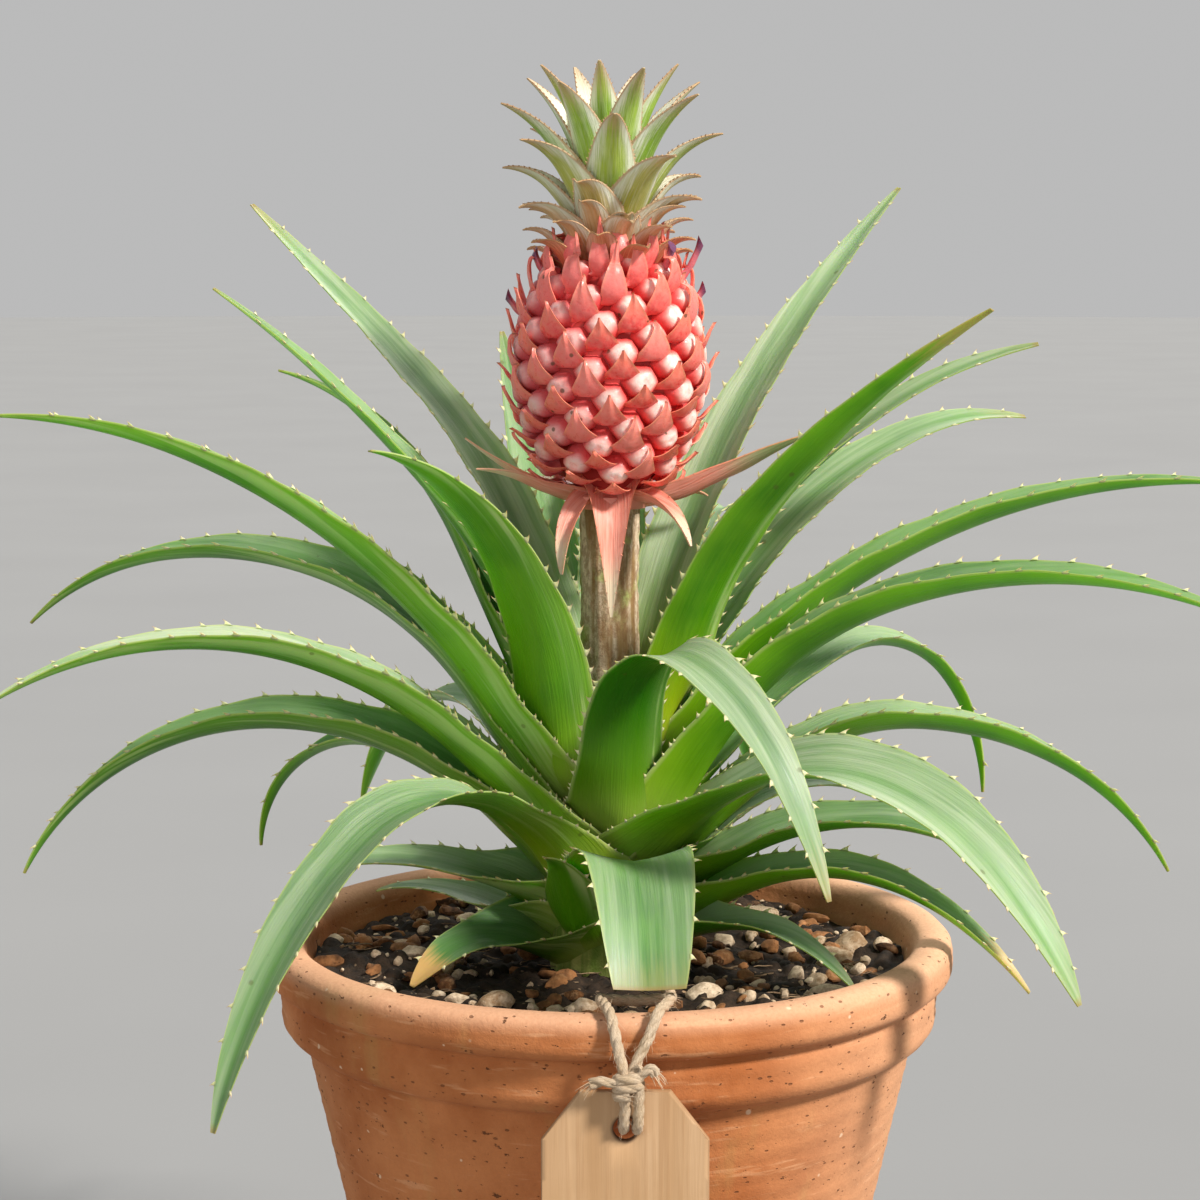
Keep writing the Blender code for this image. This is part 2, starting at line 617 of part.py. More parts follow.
def smooth_route(points, samples):
    """Even samples of a smooth curve through a route's points."""
    points = np.array(points, dtype=float)
    padded = np.vstack([2 * points[0] - points[1], points, 2 * points[-1] - points[-2]])
    share = np.linspace(0, len(points) - 1, samples)
    index = np.minimum(share.astype(int), len(points) - 2)
    t = (share - index)[:, None]
    a, b, c, d = (padded[index + k] for k in range(4))
    return 0.5 * (2 * b + (c - a) * t + (2 * a - 5 * b + 4 * c - d) * t**2 + (3 * b - a - 3 * c + d) * t**3)


def twine_strand(name, points, samples, collection, radius=TWINE_RADIUS):
    """A round strand along a route given in millimetres, with heights above the rim."""
    curve = bpy.data.curves.new(name, "CURVE")
    curve.dimensions = "3D"
    curve.bevel_depth = radius
    curve.bevel_resolution = 1
    curve.use_fill_caps = True
    spline = curve.splines.new("POLY")
    route = smooth_route(points, samples) * MM + np.array([0, 0, RIM])
    spline.points.add(samples - 1)
    for point, place in zip(spline.points, route):
        point.co = (*place, 1)
    guide = bpy.data.objects.new(name + "_guide", curve)
    collection.objects.link(guide)
    return solid_from_curve(name, guide, collection)


# Routes of the twine: over the lip from under the cut leaf's end, and from the knot through the tag's hole.
TWINE_OVER_LIP = [
    (5, -121.5, -17),
    (3.2, -119.5, -11),
    (1.5, -117.6, -4),
    (0, -113.5, 1.6),
    (-1.5, -107, 2.4),
    (-2.8, -100.5, 2.4),
    (-1.5, -96, 1.2),
    (8, -94.5, 0.4),
    (17.5, -96, 1.6),
    (18.4, -100.5, 2.8),
    (16.6, -107, 2.6),
    (14.2, -113.5, 1.8),
    (11.5, -117.6, -4),
    (8, -119.5, -11),
    (5.6, -121.5, -17),
]
TWINE_TO_TAG = [
    (5.2, -121.5, -18),
    (5.0, -121.2, -25),
    (4.8, -120.4, -30),
    (4.6, -117, -32.3),
    (4.6, -113.6, -29),
    (4.8, -113.2, -22),
    (5.0, -116, -17.2),
    (5.2, -120.5, -17.5),
]
TWINE_END_LEFT = [(4, -122, -17), (-1, -123, -16), (-6, -123, -15.5), (-8.5, -122.5, -17)]
TWINE_END_RIGHT = [(6, -122, -16.5), (10.5, -122.5, -13.5), (13.5, -122.5, -12), (15, -122, -14)]


def make_twine(collection):
    """Jute twine: a loop that holds the cut leaf's end, its knot, and the turn that carries the tag."""
    form = bmesh.new()
    bmesh.ops.create_icosphere(form, subdivisions=1, radius=1)
    form.transform(
        Matrix.Translation((5.2 * MM, -122 * MM, RIM - 17 * MM)) @ Matrix.Diagonal((5.2 * MM, 3.4 * MM, 4 * MM, 1))
    )
    pieces = [
        new_object("knot", mesh_from("knot", form), collection),
        twine_strand("loop", TWINE_OVER_LIP, 26, collection),
        twine_strand("turn", TWINE_TO_TAG, 12, collection),
        twine_strand("end_left", TWINE_END_LEFT, 6, collection, TWINE_RADIUS * 0.8),
        twine_strand("end_right", TWINE_END_RIGHT, 6, collection, TWINE_RADIUS * 0.8),
    ]
    return union("twine", pieces, collection, material("jute", (0.62, 0.47, 0.30), 0.9))


def main():
    for obj in list(bpy.data.objects):
        bpy.data.objects.remove(obj)
    parts = bpy.data.collections.new("potted_pineapple")
    cutters = bpy.data.collections.new("cutters")
    for collection in (parts, cutters):
        bpy.context.scene.collection.children.link(collection)
    make_pot(parts)
    make_soil(parts)
    make_stem(parts)
    make_leaves(parts)
    make_bracts(parts)
    make_fruit(parts)
    make_crown(parts)
    make_tag(parts)
    make_twine(parts)


main()
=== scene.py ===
# %% [markdown]
# # A potted ornamental pineapple
#
# A young pineapple in a clay pot: a rosette of long channelled leaves with spines on their margins, a stalk
# that carries a small red fruit with its own crown of leaves, and a wooden tag that hangs on jute twine.
# The solids already stand at their real size in one frame. This lesson dresses them: it works out a finer
# surface for each one, along the same lines, and gives each surface its own finish. Units are metres.

# %% Load the frame
import math

import bpy
import numpy as np
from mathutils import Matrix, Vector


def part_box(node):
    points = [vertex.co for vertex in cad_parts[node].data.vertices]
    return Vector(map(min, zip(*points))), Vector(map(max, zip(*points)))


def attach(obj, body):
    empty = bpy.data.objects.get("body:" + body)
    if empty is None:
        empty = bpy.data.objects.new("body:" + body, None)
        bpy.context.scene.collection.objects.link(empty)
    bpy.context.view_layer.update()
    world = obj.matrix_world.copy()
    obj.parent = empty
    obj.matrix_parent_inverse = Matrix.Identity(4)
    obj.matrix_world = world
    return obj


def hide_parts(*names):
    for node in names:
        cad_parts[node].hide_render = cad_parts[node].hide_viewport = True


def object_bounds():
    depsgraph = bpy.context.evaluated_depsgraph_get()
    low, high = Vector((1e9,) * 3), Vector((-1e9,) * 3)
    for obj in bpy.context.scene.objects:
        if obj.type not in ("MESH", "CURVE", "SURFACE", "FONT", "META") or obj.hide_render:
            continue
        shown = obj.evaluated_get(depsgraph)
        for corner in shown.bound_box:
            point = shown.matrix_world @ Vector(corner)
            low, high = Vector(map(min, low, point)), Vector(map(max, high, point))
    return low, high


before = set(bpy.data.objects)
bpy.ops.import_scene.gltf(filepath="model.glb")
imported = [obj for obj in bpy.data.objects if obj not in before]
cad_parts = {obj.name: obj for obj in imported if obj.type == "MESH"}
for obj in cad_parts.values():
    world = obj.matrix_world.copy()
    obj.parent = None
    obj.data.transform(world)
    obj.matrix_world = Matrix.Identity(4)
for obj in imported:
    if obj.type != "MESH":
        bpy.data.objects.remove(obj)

solid_low, solid_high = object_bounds()
MM = 0.001
GOLDEN = math.radians(137.508)  # turn from each leaf or fruitlet to the next
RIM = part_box("pot")[1][2]
LIP_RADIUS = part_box("pot")[1][0]
FRUIT_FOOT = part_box("fruit")[0][2]
CROWN_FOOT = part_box("crown")[0][2]
SOIL_LEVEL = RIM - 12 * MM
print("nodes:", len(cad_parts), "rim height:", round(RIM, 4), "lip radius:", round(LIP_RADIUS, 4))

# %% [markdown]
# ## The view
#
# The camera comes first, because it decides which side of each piece is seen most. It looks slightly down at
# the plant from the side where the tag hangs. A long lens keeps the leaves that point at it from growing.

# %% Camera
VIEW_FROM = (-3 * MM, -927.6 * MM, 431.3 * MM)
VIEW_DOWN = math.radians(7.41)
VIEW_ANGLE = math.radians(24)

lens = bpy.data.cameras.new("view")
lens.sensor_width = 36
lens.lens = lens.sensor_width / 2 / math.tan(VIEW_ANGLE / 2)
camera = bpy.data.objects.new("view", lens)
camera.location = VIEW_FROM
camera.rotation_euler = (math.radians(90) - VIEW_DOWN, 0, 0)
bpy.context.scene.collection.objects.link(camera)
bpy.context.scene.camera = camera
print("camera:", [round(value, 3) for value in camera.location], "lens:", round(lens.lens, 1), "mm")

# %% [markdown]
# ## Light
#
# In a greenhouse the sun comes in high from one side, and the panes and the sky fill the rest. Here that is a
# strong narrow sun on the right, which rounds the fruitlets and throws the leaves' shadows on the pot, a wide
# one behind that edges the leaves, a weak wide one on the left that opens the shade, and a pale world.

# %% Lamps, world and floor
LAMPS = {  # where each sun stands, its strength and how many degrees wide it looks
    "sky_right": ((0.88, -0.58, 0.92), 4.8, 9),
    "sky_behind": ((0.25, 0.95, 0.90), 1.4, 40),
    "sky_left": ((-0.7, -1.0, 0.30), 0.75, 60),
}
LAMP_COLOUR = (1.0, 0.97, 0.92)
SKY_STRENGTH = 0.32
SKY_COLOUR = (0.90, 0.95, 1.0)
FLOOR_TONE, FLOOR_CHANGE, FLOOR_REACH = 0.27, 0.015, 14.0
BACKDROP_TONE = 0.495  # the sky in view is as pale as the far floor, so that no horizon shows

for name, (place, strength, width) in LAMPS.items():
    light = bpy.data.lights.new(name, "SUN")
    light.energy = strength
    light.angle = math.radians(width)
    light.color = LAMP_COLOUR
    lamp = bpy.data.objects.new(name, light)
    lamp.location = place
    flat = math.hypot(place[0], place[1])
    lamp.rotation_euler = (math.atan2(flat, place[2]), 0, math.atan2(place[1], place[0]) + math.pi / 2)
    bpy.context.scene.collection.objects.link(lamp)

world = bpy.data.worlds.new("sky")
world.use_nodes = True
sky = world.node_tree.nodes["Background"]
sky.inputs["Color"].default_value = (*SKY_COLOUR, 1.0)
sky.inputs["Strength"].default_value = SKY_STRENGTH
backdrop = world.node_tree.nodes.new("ShaderNodeBackground")
backdrop.inputs["Color"].default_value = (BACKDROP_TONE, BACKDROP_TONE, BACKDROP_TONE, 1.0)
seen = world.node_tree.nodes.new("ShaderNodeLightPath")
either = world.node_tree.nodes.new("ShaderNodeMixShader")
world.node_tree.links.new(seen.outputs["Is Camera Ray"], either.inputs[0])
world.node_tree.links.new(sky.outputs[0], either.inputs[1])
world.node_tree.links.new(backdrop.outputs[0], either.inputs[2])
world.node_tree.links.new(either.outputs[0], world.node_tree.nodes["World Output"].inputs[0])
bpy.context.scene.world = world
bpy.context.scene.view_settings.view_transform = "Standard"
print("lamps:", ", ".join(LAMPS))

# %% [markdown]
# ## Surfaces
#
# Every new piece is a closed tube of rings: a shape is an array of points with one row for each ring and one
# column for each place round it. A tube's two ends are closed by a ladder of four-cornered faces that joins
# the first half of the ring to the second half, so no pole is needed. Many alike tubes, such as spines, are
# worked out together in one array with more axes. Each point can carry values that its finish reads.

# %% Tubes of rings
SHARP_EDGE = math.radians(50)


def vectors(x, y, z):
    """Three arrays or numbers, stretched to one shape, as the parts of vectors."""
    return np.stack(np.broadcast_arrays(x, y, z), axis=-1)


def unit(ways):
    """Each vector at length 1."""
    return ways / np.linalg.norm(ways, axis=-1, keepdims=True)


def facing_out(rings, faces, values):
    """The rings' points with these faces and values. Six times the volume inside is the sum of each face's
    corner times the cross products of its other corners. Where it is negative, the faces are turned round."""
    points = rings.reshape(-1, 3)
    a, b, c, d = (points[faces[:, k]] for k in range(4))
    volume = (a * (np.cross(b, c) + np.cross(c, d))).sum()
    values = {key: np.broadcast_to(value, rings.shape).reshape(-1, 3) for key, value in values.items()}
    return {"points": points, "faces": faces if volume > 0 else faces[:, ::-1], "values": values}


def tubes(rings, **values):
    """One or many closed tubes. rings is (..., rows, sides, 3) with an even number of sides. A wall face
    joins each place to the next place round and to the next ring. Each of values is a vector for every
    point, or stretches to that."""
    rings = np.asarray(rings, dtype=float)
    rows, sides = rings.shape[-3:-1]
    count = rings.size // (rows * sides * 3)
    index = np.arange(rows * sides).reshape(rows, sides)
    after = np.roll(index, -1, axis=1)
    walls = np.stack([index[:-1], after[:-1], after[1:], index[1:]], axis=-1).reshape(-1, 4)
    step = np.arange(sides // 2 - 1)
    start = np.stack([step + 1, step, sides - 1 - step, sides - 2 - step], axis=-1)
    end = start[:, ::-1] + (rows - 1) * sides
    one = np.concatenate([walls, start, end])
    faces = (one + (np.arange(count) * rows * sides)[:, None, None]).reshape(-1, 4)
    return facing_out(rings, faces, values)


def wrapped(rings, **values):
    """A closed loop of rings, such as a band or a plate with a hole: the last ring joins the first."""
    rings = np.asarray(rings, dtype=float)
    rows, sides = rings.shape[:2]
    index = np.arange(rows * sides).reshape(rows, sides)
    after, above = np.roll(index, -1, axis=1), np.roll(index, -1, axis=0)
    faces = np.stack([index, after, np.roll(above, -1, axis=1), above], axis=-1).reshape(-1, 4)
    return facing_out(rings, faces, values)


def round_line(line, across, other, radius, sides):
    """Round rings about the points of one or many lines. across and other are two directions across the line,
    and radius has one value for each point of the line, or for each place round it too."""
    ring = np.linspace(0, math.tau, sides, endpoint=False)[:, None]
    spoke = across[..., None, :] * np.cos(ring) + other[..., None, :] * np.sin(ring)
    return line[..., None, :] + spoke * radius[..., None]


def together(*shapes):
    """Several shapes as one. A shape without a value that another has gets zeros for it."""
    starts = np.cumsum([0] + [len(shape["points"]) for shape in shapes[:-1]])
    values = {}
    for key in sorted({key for shape in shapes for key in shape["values"]}):
        each = [shape["values"].get(key, np.zeros_like(shape["points"])) for shape in shapes]
        values[key] = np.concatenate(each)
    return {
        "points": np.concatenate([shape["points"] for shape in shapes]),
        "faces": np.concatenate([shape["faces"] + start for shape, start in zip(shapes, starts)]),
        "values": values,
    }


total_faces = 0


def piece(name, shape, finish, slot, *nodes):
    """The shape as a smooth mesh object that stands for these solids."""
    global total_faces
    mesh = bpy.data.meshes.new(name)
    faces = shape["faces"]
    mesh.vertices.add(len(shape["points"]))
    mesh.vertices.foreach_set("co", shape["points"].astype(np.float32).ravel())
    mesh.loops.add(faces.size)
    mesh.loops.foreach_set("vertex_index", faces.astype(np.int32).ravel())
    mesh.polygons.add(len(faces))
    mesh.polygons.foreach_set("loop_start", np.arange(0, faces.size, 4, dtype=np.int32))
    mesh.update(calc_edges=True)
    for key, value in shape["values"].items():
        layer = mesh.attributes.new(key, "FLOAT_VECTOR", "POINT")
        layer.data.foreach_set("vector", value.astype(np.float32).ravel())
    mesh.shade_smooth()
    mesh.set_sharp_from_angle(angle=SHARP_EDGE)
    mesh.materials.append(finish)
    made = bpy.data.objects.new(name, mesh)
    bpy.context.scene.collection.objects.link(made)
    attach(made, "root")
    if nodes:
        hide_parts(*nodes)
    total_faces += len(faces)
    return made


def smooth_step(value):
    """0 up to 0, 1 from 1, and between them three times its square less twice its cube."""
    value = np.clip(value, 0, 1)
    return value * value * (3 - 2 * value)


def ripple(points, scale, seed, waves=12):
    """Smooth noise, mostly in -1..1, at an array of points: a sum of sine waves in random directions."""
    random = np.random.default_rng(seed)
    ways = random.normal(size=(waves, 3)) * scale
    shifts = random.uniform(0, math.tau, waves)
    return np.sin(points @ ways.T + shifts).sum(axis=-1) / math.sqrt(waves) / 1.6


print("surface helpers ready")

# %% [markdown]
# ## Finishes
#
# A finish is a tree of nodes. The small class below adds a node and joins it in one call, so that a finish
# reads as a few lines. Three effects are used by several finishes and are built once, as groups: streaks that
# run along a blade, round specks, and a fine relief that bends the light as grain does.


# %% Node helpers
class Wires:
    """Adds nodes to a material's or a group's tree and joins them."""

    def __init__(self, tree):
        """tree is the material's or the group's."""
        self.tree = tree

    def join(self, value, socket):
        """value, a number, a colour or another node's output, goes into the socket."""
        if isinstance(value, bpy.types.NodeSocket):
            self.tree.links.new(value, socket)
        elif socket.type == "RGBA":
            socket.default_value = (*value, 1.0)
        else:
            socket.default_value = value

    def add(self, kind, inputs=None, **settings):
        """A new node with its settings, and with its inputs joined."""
        node = self.tree.nodes.new("ShaderNode" + kind)
        for key, value in settings.items():
            setattr(node, key, value)
        for key, value in (inputs or {}).items():
            self.join(value, node.inputs[key])
        return node

    def mix(self, share, low, high):
        """Colour low where share is 0 and high where it is 1."""
        return self.add("Mix", {0: share, 6: low, 7: high}, data_type="RGBA").outputs[2]

    def reckon(self, operation, first, second=0.0):
        """One sum with two numbers. ABSOLUTE reads only the first."""
        return self.add("Math", {0: first, 1: second}, operation=operation).outputs[0]

    def times(self, first, second):
        """The product of two numbers."""
        return self.reckon("MULTIPLY", first, second)

    def plus(self, first, second):
        """The total of two numbers."""
        return self.reckon("ADD", first, second)

    def spread(self, value, low, high, start=0.0, end=1.0):
        """value from low to high, turned smoothly into start to end and held outside."""
        limits = {"Value": value, "From Min": low, "From Max": high, "To Min": start, "To Max": end}
        return self.add("MapRange", limits, interpolation_type="SMOOTHSTEP").outputs[0]

    def noise(self, vector, scale, detail=3.0, roughness=0.5, distortion=0.0):
        """Cloudy noise in 0..1. detail adds finer clouds, and roughness says how strong they are."""
        settings = {"Vector": vector, "Scale": scale, "Detail": detail, "Roughness": roughness}
        return self.add("TexNoise", {**settings, "Distortion": distortion}).outputs[0]

    def bump(self, height, distance, normal=None):
        """The surface's direction where height raises it by up to distance, on top of another bump."""
        node = self.add("Bump", {"Height": height, "Distance": distance, "Strength": 1.0})
        if normal is not None:
            self.join(normal, node.inputs["Normal"])
        return node.outputs[0]

    def place(self):
        """The point's own place, in metres."""
        return self.add("TexCoord").outputs["Object"]

    def stretched(self, vector, scale):
        """The vector times a scale for each axis: a small one draws a pattern out along that axis."""
        return self.add("Mapping", {"Vector": vector, "Scale": scale}).outputs[0]

    def value(self, name):
        """The vector that a surface's points carry under this name."""
        return self.add("Attribute", attribute_name=name).outputs["Vector"]

    def parts(self, vector):
        """A vector's three parts."""
        return self.add("SeparateXYZ", {0: vector}).outputs[:3]

    def use(self, group, outputs=1, **inputs):
        """A node group with its inputs. Returns its outputs, or its only one."""
        node = self.tree.nodes.new("ShaderNodeGroup")
        node.node_tree = group
        for key, value in inputs.items():
            self.join(value, node.inputs[key])
        return node.outputs[0] if outputs == 1 else node.outputs[:outputs]


def new_group(name, inputs, outputs):
    """A node group. inputs and outputs give each socket's name and kind."""
    group = bpy.data.node_groups.new(name, "ShaderNodeTree")
    for key, kind in inputs.items():
        group.interface.new_socket(key, in_out="INPUT", socket_type="NodeSocket" + kind)
    for key, kind in outputs.items():
        group.interface.new_socket(key, in_out="OUTPUT", socket_type="NodeSocket" + kind)
    return group, Wires(group), group.nodes.new("NodeGroupInput"), group.nodes.new("NodeGroupOutput")


def new_finish(name, **sockets):
    """A material with its wires and its Principled shader. sockets are set on the shader itself."""
    made = bpy.data.materials.new(name)
    made.use_nodes = True
    shader = made.node_tree.nodes["Principled BSDF"]
    wires = Wires(made.node_tree)
    for key, value in sockets.items():
        wires.join(value, shader.inputs[key.replace("_", " ")])
    return made, wires, shader.inputs


# %% Shared effects
def make_streaks():
    """Fine and broad streaks along a blade, from a grain vector that is stretched along the blade."""
    group, wires, given, out = new_group(
        "streaks", {"Grain": "Vector", "Scale": "Float"}, {"Fine": "Float", "Broad": "Float"}
    )
    fine = wires.noise(given.outputs["Grain"], given.outputs["Scale"], 4.0, 0.6)
    slow = wires.times(given.outputs["Scale"], 0.22)
    broad = wires.noise(given.outputs["Grain"], slow, 2.0, 0.5, 0.4)
    wires.join(wires.spread(fine, 0.35, 0.65), out.inputs["Fine"])
    wires.join(wires.spread(broad, 0.3, 0.7), out.inputs["Broad"])
    return group


def make_specks():
    """Round specks: 1 inside a speck and 0 outside. Amount is the share of cells that have one."""
    inputs = {"Vector": "Vector", "Scale": "Float", "Amount": "Float", "Size": "Float"}
    group, wires, given, out = new_group("specks", inputs, {"Mask": "Float"})
    cell = wires.add("TexVoronoi", {"Vector": given.outputs["Vector"], "Scale": given.outputs["Scale"]})
    chance, _, grade = wires.parts(cell.outputs["Color"])
    chosen = wires.reckon("LESS_THAN", chance, given.outputs["Amount"])
    size = wires.times(given.outputs["Size"], wires.spread(grade, 0.0, 1.0, 0.45, 1.0))
    inside = wires.reckon("DIVIDE", cell.outputs["Distance"], size)
    mask = wires.times(chosen, wires.spread(inside, 1.0, 0.55))
    wires.join(mask, out.inputs["Mask"])
    return group


def make_relief():
    """The direction of a grainy surface, from noise at one scale and its fine detail."""
    group, wires, given, out = new_group(
        "relief", {"Vector": "Vector", "Scale": "Float", "Distance": "Float"}, {"Normal": "Vector"}
    )
    height = wires.noise(given.outputs["Vector"], given.outputs["Scale"], 5.0, 0.65)
    wires.join(wires.bump(height, given.outputs["Distance"]), out.inputs["Normal"])
    return group


streaks, specks, relief = make_streaks(), make_specks(), make_relief()
print("groups:", streaks.name, specks.name, relief.name)


# %% Floor
def floor_finish():
    """A plain matt floor whose tone hardly changes."""
    made, wires, sockets = new_finish("floor", Roughness=0.9)
    tone = wires.noise(wires.place(), 3.0, 2.0)
    low, high = ([FLOOR_TONE + change] * 3 for change in (-FLOOR_CHANGE, FLOOR_CHANGE))
    wires.join(wires.mix(tone, low, high), sockets["Base Color"])
    return made


ground = (0, 0, solid_low[2])
bpy.ops.mesh.primitive_circle_add(vertices=96, radius=FLOOR_REACH, fill_type="NGON", location=ground)
floor = bpy.context.object
floor.name = "floor"
floor.data.materials.append(floor_finish())
print("floor at", round(float(solid_low[2]), 4))

# %% [markdown]
# ## The clay pot
#
# A flower pot is thrown or pressed on a wheel, so it is a profile turned about its axis. The profile keeps
# the solid's few points, and each corner is rounded the way wet clay is: the outline is sampled evenly, and
# then each point takes the mean of its near neighbours. The wheel leaves faint rings, and firing warps the
# wall by a fraction of a millimetre. Three drain holes go through the floor.


# %% Turned profile
def sampled(points, step):
    """A broken line with a point at each step of its length. Returns the points and their places on it."""
    points = np.array(points, dtype=float)
    lengths = np.concatenate([[0], np.cumsum(np.linalg.norm(np.diff(points, axis=0), axis=1))])
    places = np.linspace(0, lengths[-1], max(int(lengths[-1] / step), 2))
    columns = [np.interp(places, lengths, points[:, k]) for k in range(points.shape[1])]
    return np.stack(columns, axis=1), places


def rounded(points, reach):
    """Each point becomes the mean of the reach points on either side of it. The two ends stay."""
    kernel = np.ones(2 * reach + 1) / (2 * reach + 1)
    padded = np.pad(points, ((reach, reach), (0, 0)), mode="edge")
    columns = [np.convolve(padded[:, k], kernel, mode="valid") for k in range(points.shape[1])]
    smooth = np.stack(columns, axis=1)
    smooth[0], smooth[-1] = points[0], points[-1]
    return smooth


def turned(profile, sides):
    """Rings about the Z axis through a profile of radius and height."""
    angle = np.linspace(0, math.tau, sides, endpoint=False)
    radius, height = profile[:, 0, None], profile[:, 1, None]
    return vectors(radius * np.cos(angle), radius * np.sin(angle), height)


AXIS_GAP = 0.3 * MM  # a turned profile ends this near its axis
MOUTH_RADIUS = LIP_RADIUS - 13.5 * MM
COLLAR_RADIUS = LIP_RADIUS - 5 * MM
BODY_RADIUS = LIP_RADIUS - 13 * MM
FOOT_RADIUS = 64 * MM
FLOOR_RADIUS = 57 * MM
FLOOR = 12 * MM
DRAINS, DRAIN_RADIUS, DRAIN_OFFSET = 3, 6 * MM, 30 * MM


def pot_shape():
    """The pot's profile, from the centre of its floor up the inside, over the lip and down to the foot. Sine
    waves along it are the wheel's rings, and noise swells the wall in and out, but not the floor or foot."""
    profile = [
        (AXIS_GAP, FLOOR),
        (FLOOR_RADIUS - 4 * MM, FLOOR),
        (FLOOR_RADIUS, FLOOR + 4 * MM),
        (MOUTH_RADIUS, RIM - 4.5 * MM),
        (MOUTH_RADIUS + 1.3 * MM, RIM - 1.4 * MM),
        (MOUTH_RADIUS + 4.5 * MM, RIM),
        (LIP_RADIUS - 4.5 * MM, RIM),
        (LIP_RADIUS - 1.2 * MM, RIM - 1.4 * MM),
        (LIP_RADIUS, RIM - 5 * MM),
        (LIP_RADIUS, RIM - 10 * MM),
        (LIP_RADIUS - 1.2 * MM, RIM - 13 * MM),
        (COLLAR_RADIUS - 1.4 * MM, RIM - 14.6 * MM),
        (COLLAR_RADIUS - 0.2 * MM, RIM - 17 * MM),
        (COLLAR_RADIUS - 0.6 * MM, RIM - 28 * MM),
        (COLLAR_RADIUS - 2.6 * MM, RIM - 31 * MM),
        (BODY_RADIUS, RIM - 33.4 * MM),
        (FOOT_RADIUS + 1.5 * MM, 2 * MM),
        (FOOT_RADIUS, 0.4 * MM),
        (FOOT_RADIUS - 1.5 * MM, 0),
        (AXIS_GAP, 0),
    ]
    outline, places = sampled(profile, 1.3 * MM)
    outline = rounded(outline, 1)
    rings = turned(outline, 200)
    radius = np.linalg.norm(rings[..., :2], axis=-1, keepdims=True)
    way = rings * [1, 1, 0] / np.maximum(radius, 1e-6)
    wheel = 0.1 * np.sin(places * 900)[:, None] + 0.12 * np.sin(places * 2300 + 1)[:, None]
    swell = (0.35 * ripple(rings, 22, 3) + 0.14 * ripple(rings, 110, 4) + wheel) * MM
    wall = smooth_step((radius[..., 0] - 50 * MM) / (8 * MM)) * smooth_step(rings[..., 2] / (6 * MM))
    return tubes(rings + way * (swell * wall)[..., None])


def clay_finish():
    """Fired clay: orange mottled with paler bloom, ochre runs from the lip, pits darkened with painted shade,
    and painted sunlight that makes the right side and the lip paler.
    """
    made, wires, sockets = new_finish("terracotta", Roughness=0.86, Specular_IOR_Level=0.25)
    place = wires.place()
    side, _, height = wires.parts(place)
    mottle = wires.spread(wires.noise(place, 26.0, 5.0, 0.6), 0.32, 0.68)
    colour = wires.mix(mottle, (0.40, 0.120, 0.032), (0.58, 0.215, 0.075))
    cloud = wires.spread(wires.noise(place, 9.0, 3.0, 0.55, 0.3), 0.5, 0.72)
    colour = wires.mix(wires.times(cloud, 0.45), colour, (0.72, 0.34, 0.15))
    scratch = wires.noise(wires.stretched(place, (0.12, 0.12, 1.0)), 330.0, 3.0, 0.6)
    scratch = wires.times(wires.spread(scratch, 0.58, 0.70), 0.45)
    colour = wires.mix(scratch, colour, (0.74, 0.38, 0.19))
    runs = wires.noise(wires.stretched(place, (1.0, 1.0, 0.16)), 42.0, 4.0, 0.6)
    runs = wires.times(wires.spread(runs, 0.55, 0.72), 0.5)
    colour = wires.mix(runs, colour, (0.50, 0.27, 0.09))
    # Painted sunlight: the clay is paler towards the right, the side that the sun lights.
    painted_sun_side = wires.spread(side, 35 * MM, 105 * MM, 0.0, 0.55)
    colour = wires.mix(painted_sun_side, colour, (0.86, 0.50, 0.29))
    # Painted sunlight: the clay grows paler up to the lip's top, which the sun lights from above.
    lip = wires.spread(height, RIM - 7 * MM, RIM, 0.0, 0.6)
    colour = wires.mix(lip, colour, (0.84, 0.52, 0.33))
    grain = wires.spread(wires.noise(place, 900.0, 2.0, 0.7), 0.35, 0.75)
    colour = wires.mix(wires.times(grain, 0.22), colour, (0.42, 0.15, 0.06))
    squashed = wires.stretched(place, (0.6, 0.6, 1.2))
    pits = wires.spread(wires.noise(squashed, 330.0, 4.0, 0.7), 0.655, 0.70)
    small = wires.use(specks, Vector=squashed, Scale=520.0, Amount=0.22, Size=0.30)
    pale = wires.use(specks, Vector=place, Scale=260.0, Amount=0.04, Size=0.3)
    # Painted shade: the pits and small holes that the bump sinks are darkened, as shade lies in them.
    colour = wires.mix(wires.times(pits, 0.85), colour, (0.10, 0.035, 0.012))
    colour = wires.mix(wires.times(small, 0.7), colour, (0.16, 0.055, 0.020))
    colour = wires.mix(wires.times(pale, 0.7), colour, (0.85, 0.62, 0.42))
    wires.join(colour, sockets["Base Color"])
    holes = wires.plus(wires.times(pits, -1.0), wires.times(small, -0.6))
    coarse = wires.times(wires.noise(place, 260.0, 4.0, 0.7), 0.8)
    normal = wires.bump(wires.plus(holes, coarse), 0.5 * MM)
    fine = wires.bump(wires.noise(place, 2200.0, 2.0, 0.6), 0.06 * MM, normal)
    wires.join(fine, sockets["Normal"])
    return made


# %% Pot
pot = piece("clay_pot", pot_shape(), clay_finish(), "terracotta", "pot")
for number in range(DRAINS):
    turn = math.tau * (number + 0.25) / DRAINS
    centre = (DRAIN_OFFSET * math.cos(turn), DRAIN_OFFSET * math.sin(turn), FLOOR / 2)
    bpy.ops.mesh.primitive_cylinder_add(vertices=48, radius=DRAIN_RADIUS, depth=3 * FLOOR, location=centre)
    drill = bpy.context.object
    hole = pot.modifiers.new("Drain", "BOOLEAN")
    hole.operation = "DIFFERENCE"
    hole.object = drill
    bpy.context.view_layer.objects.active = pot
    bpy.ops.object.modifier_apply(modifier=hole.name)
    bpy.data.objects.remove(drill)
print("pot faces:", len(pot.data.polygons))

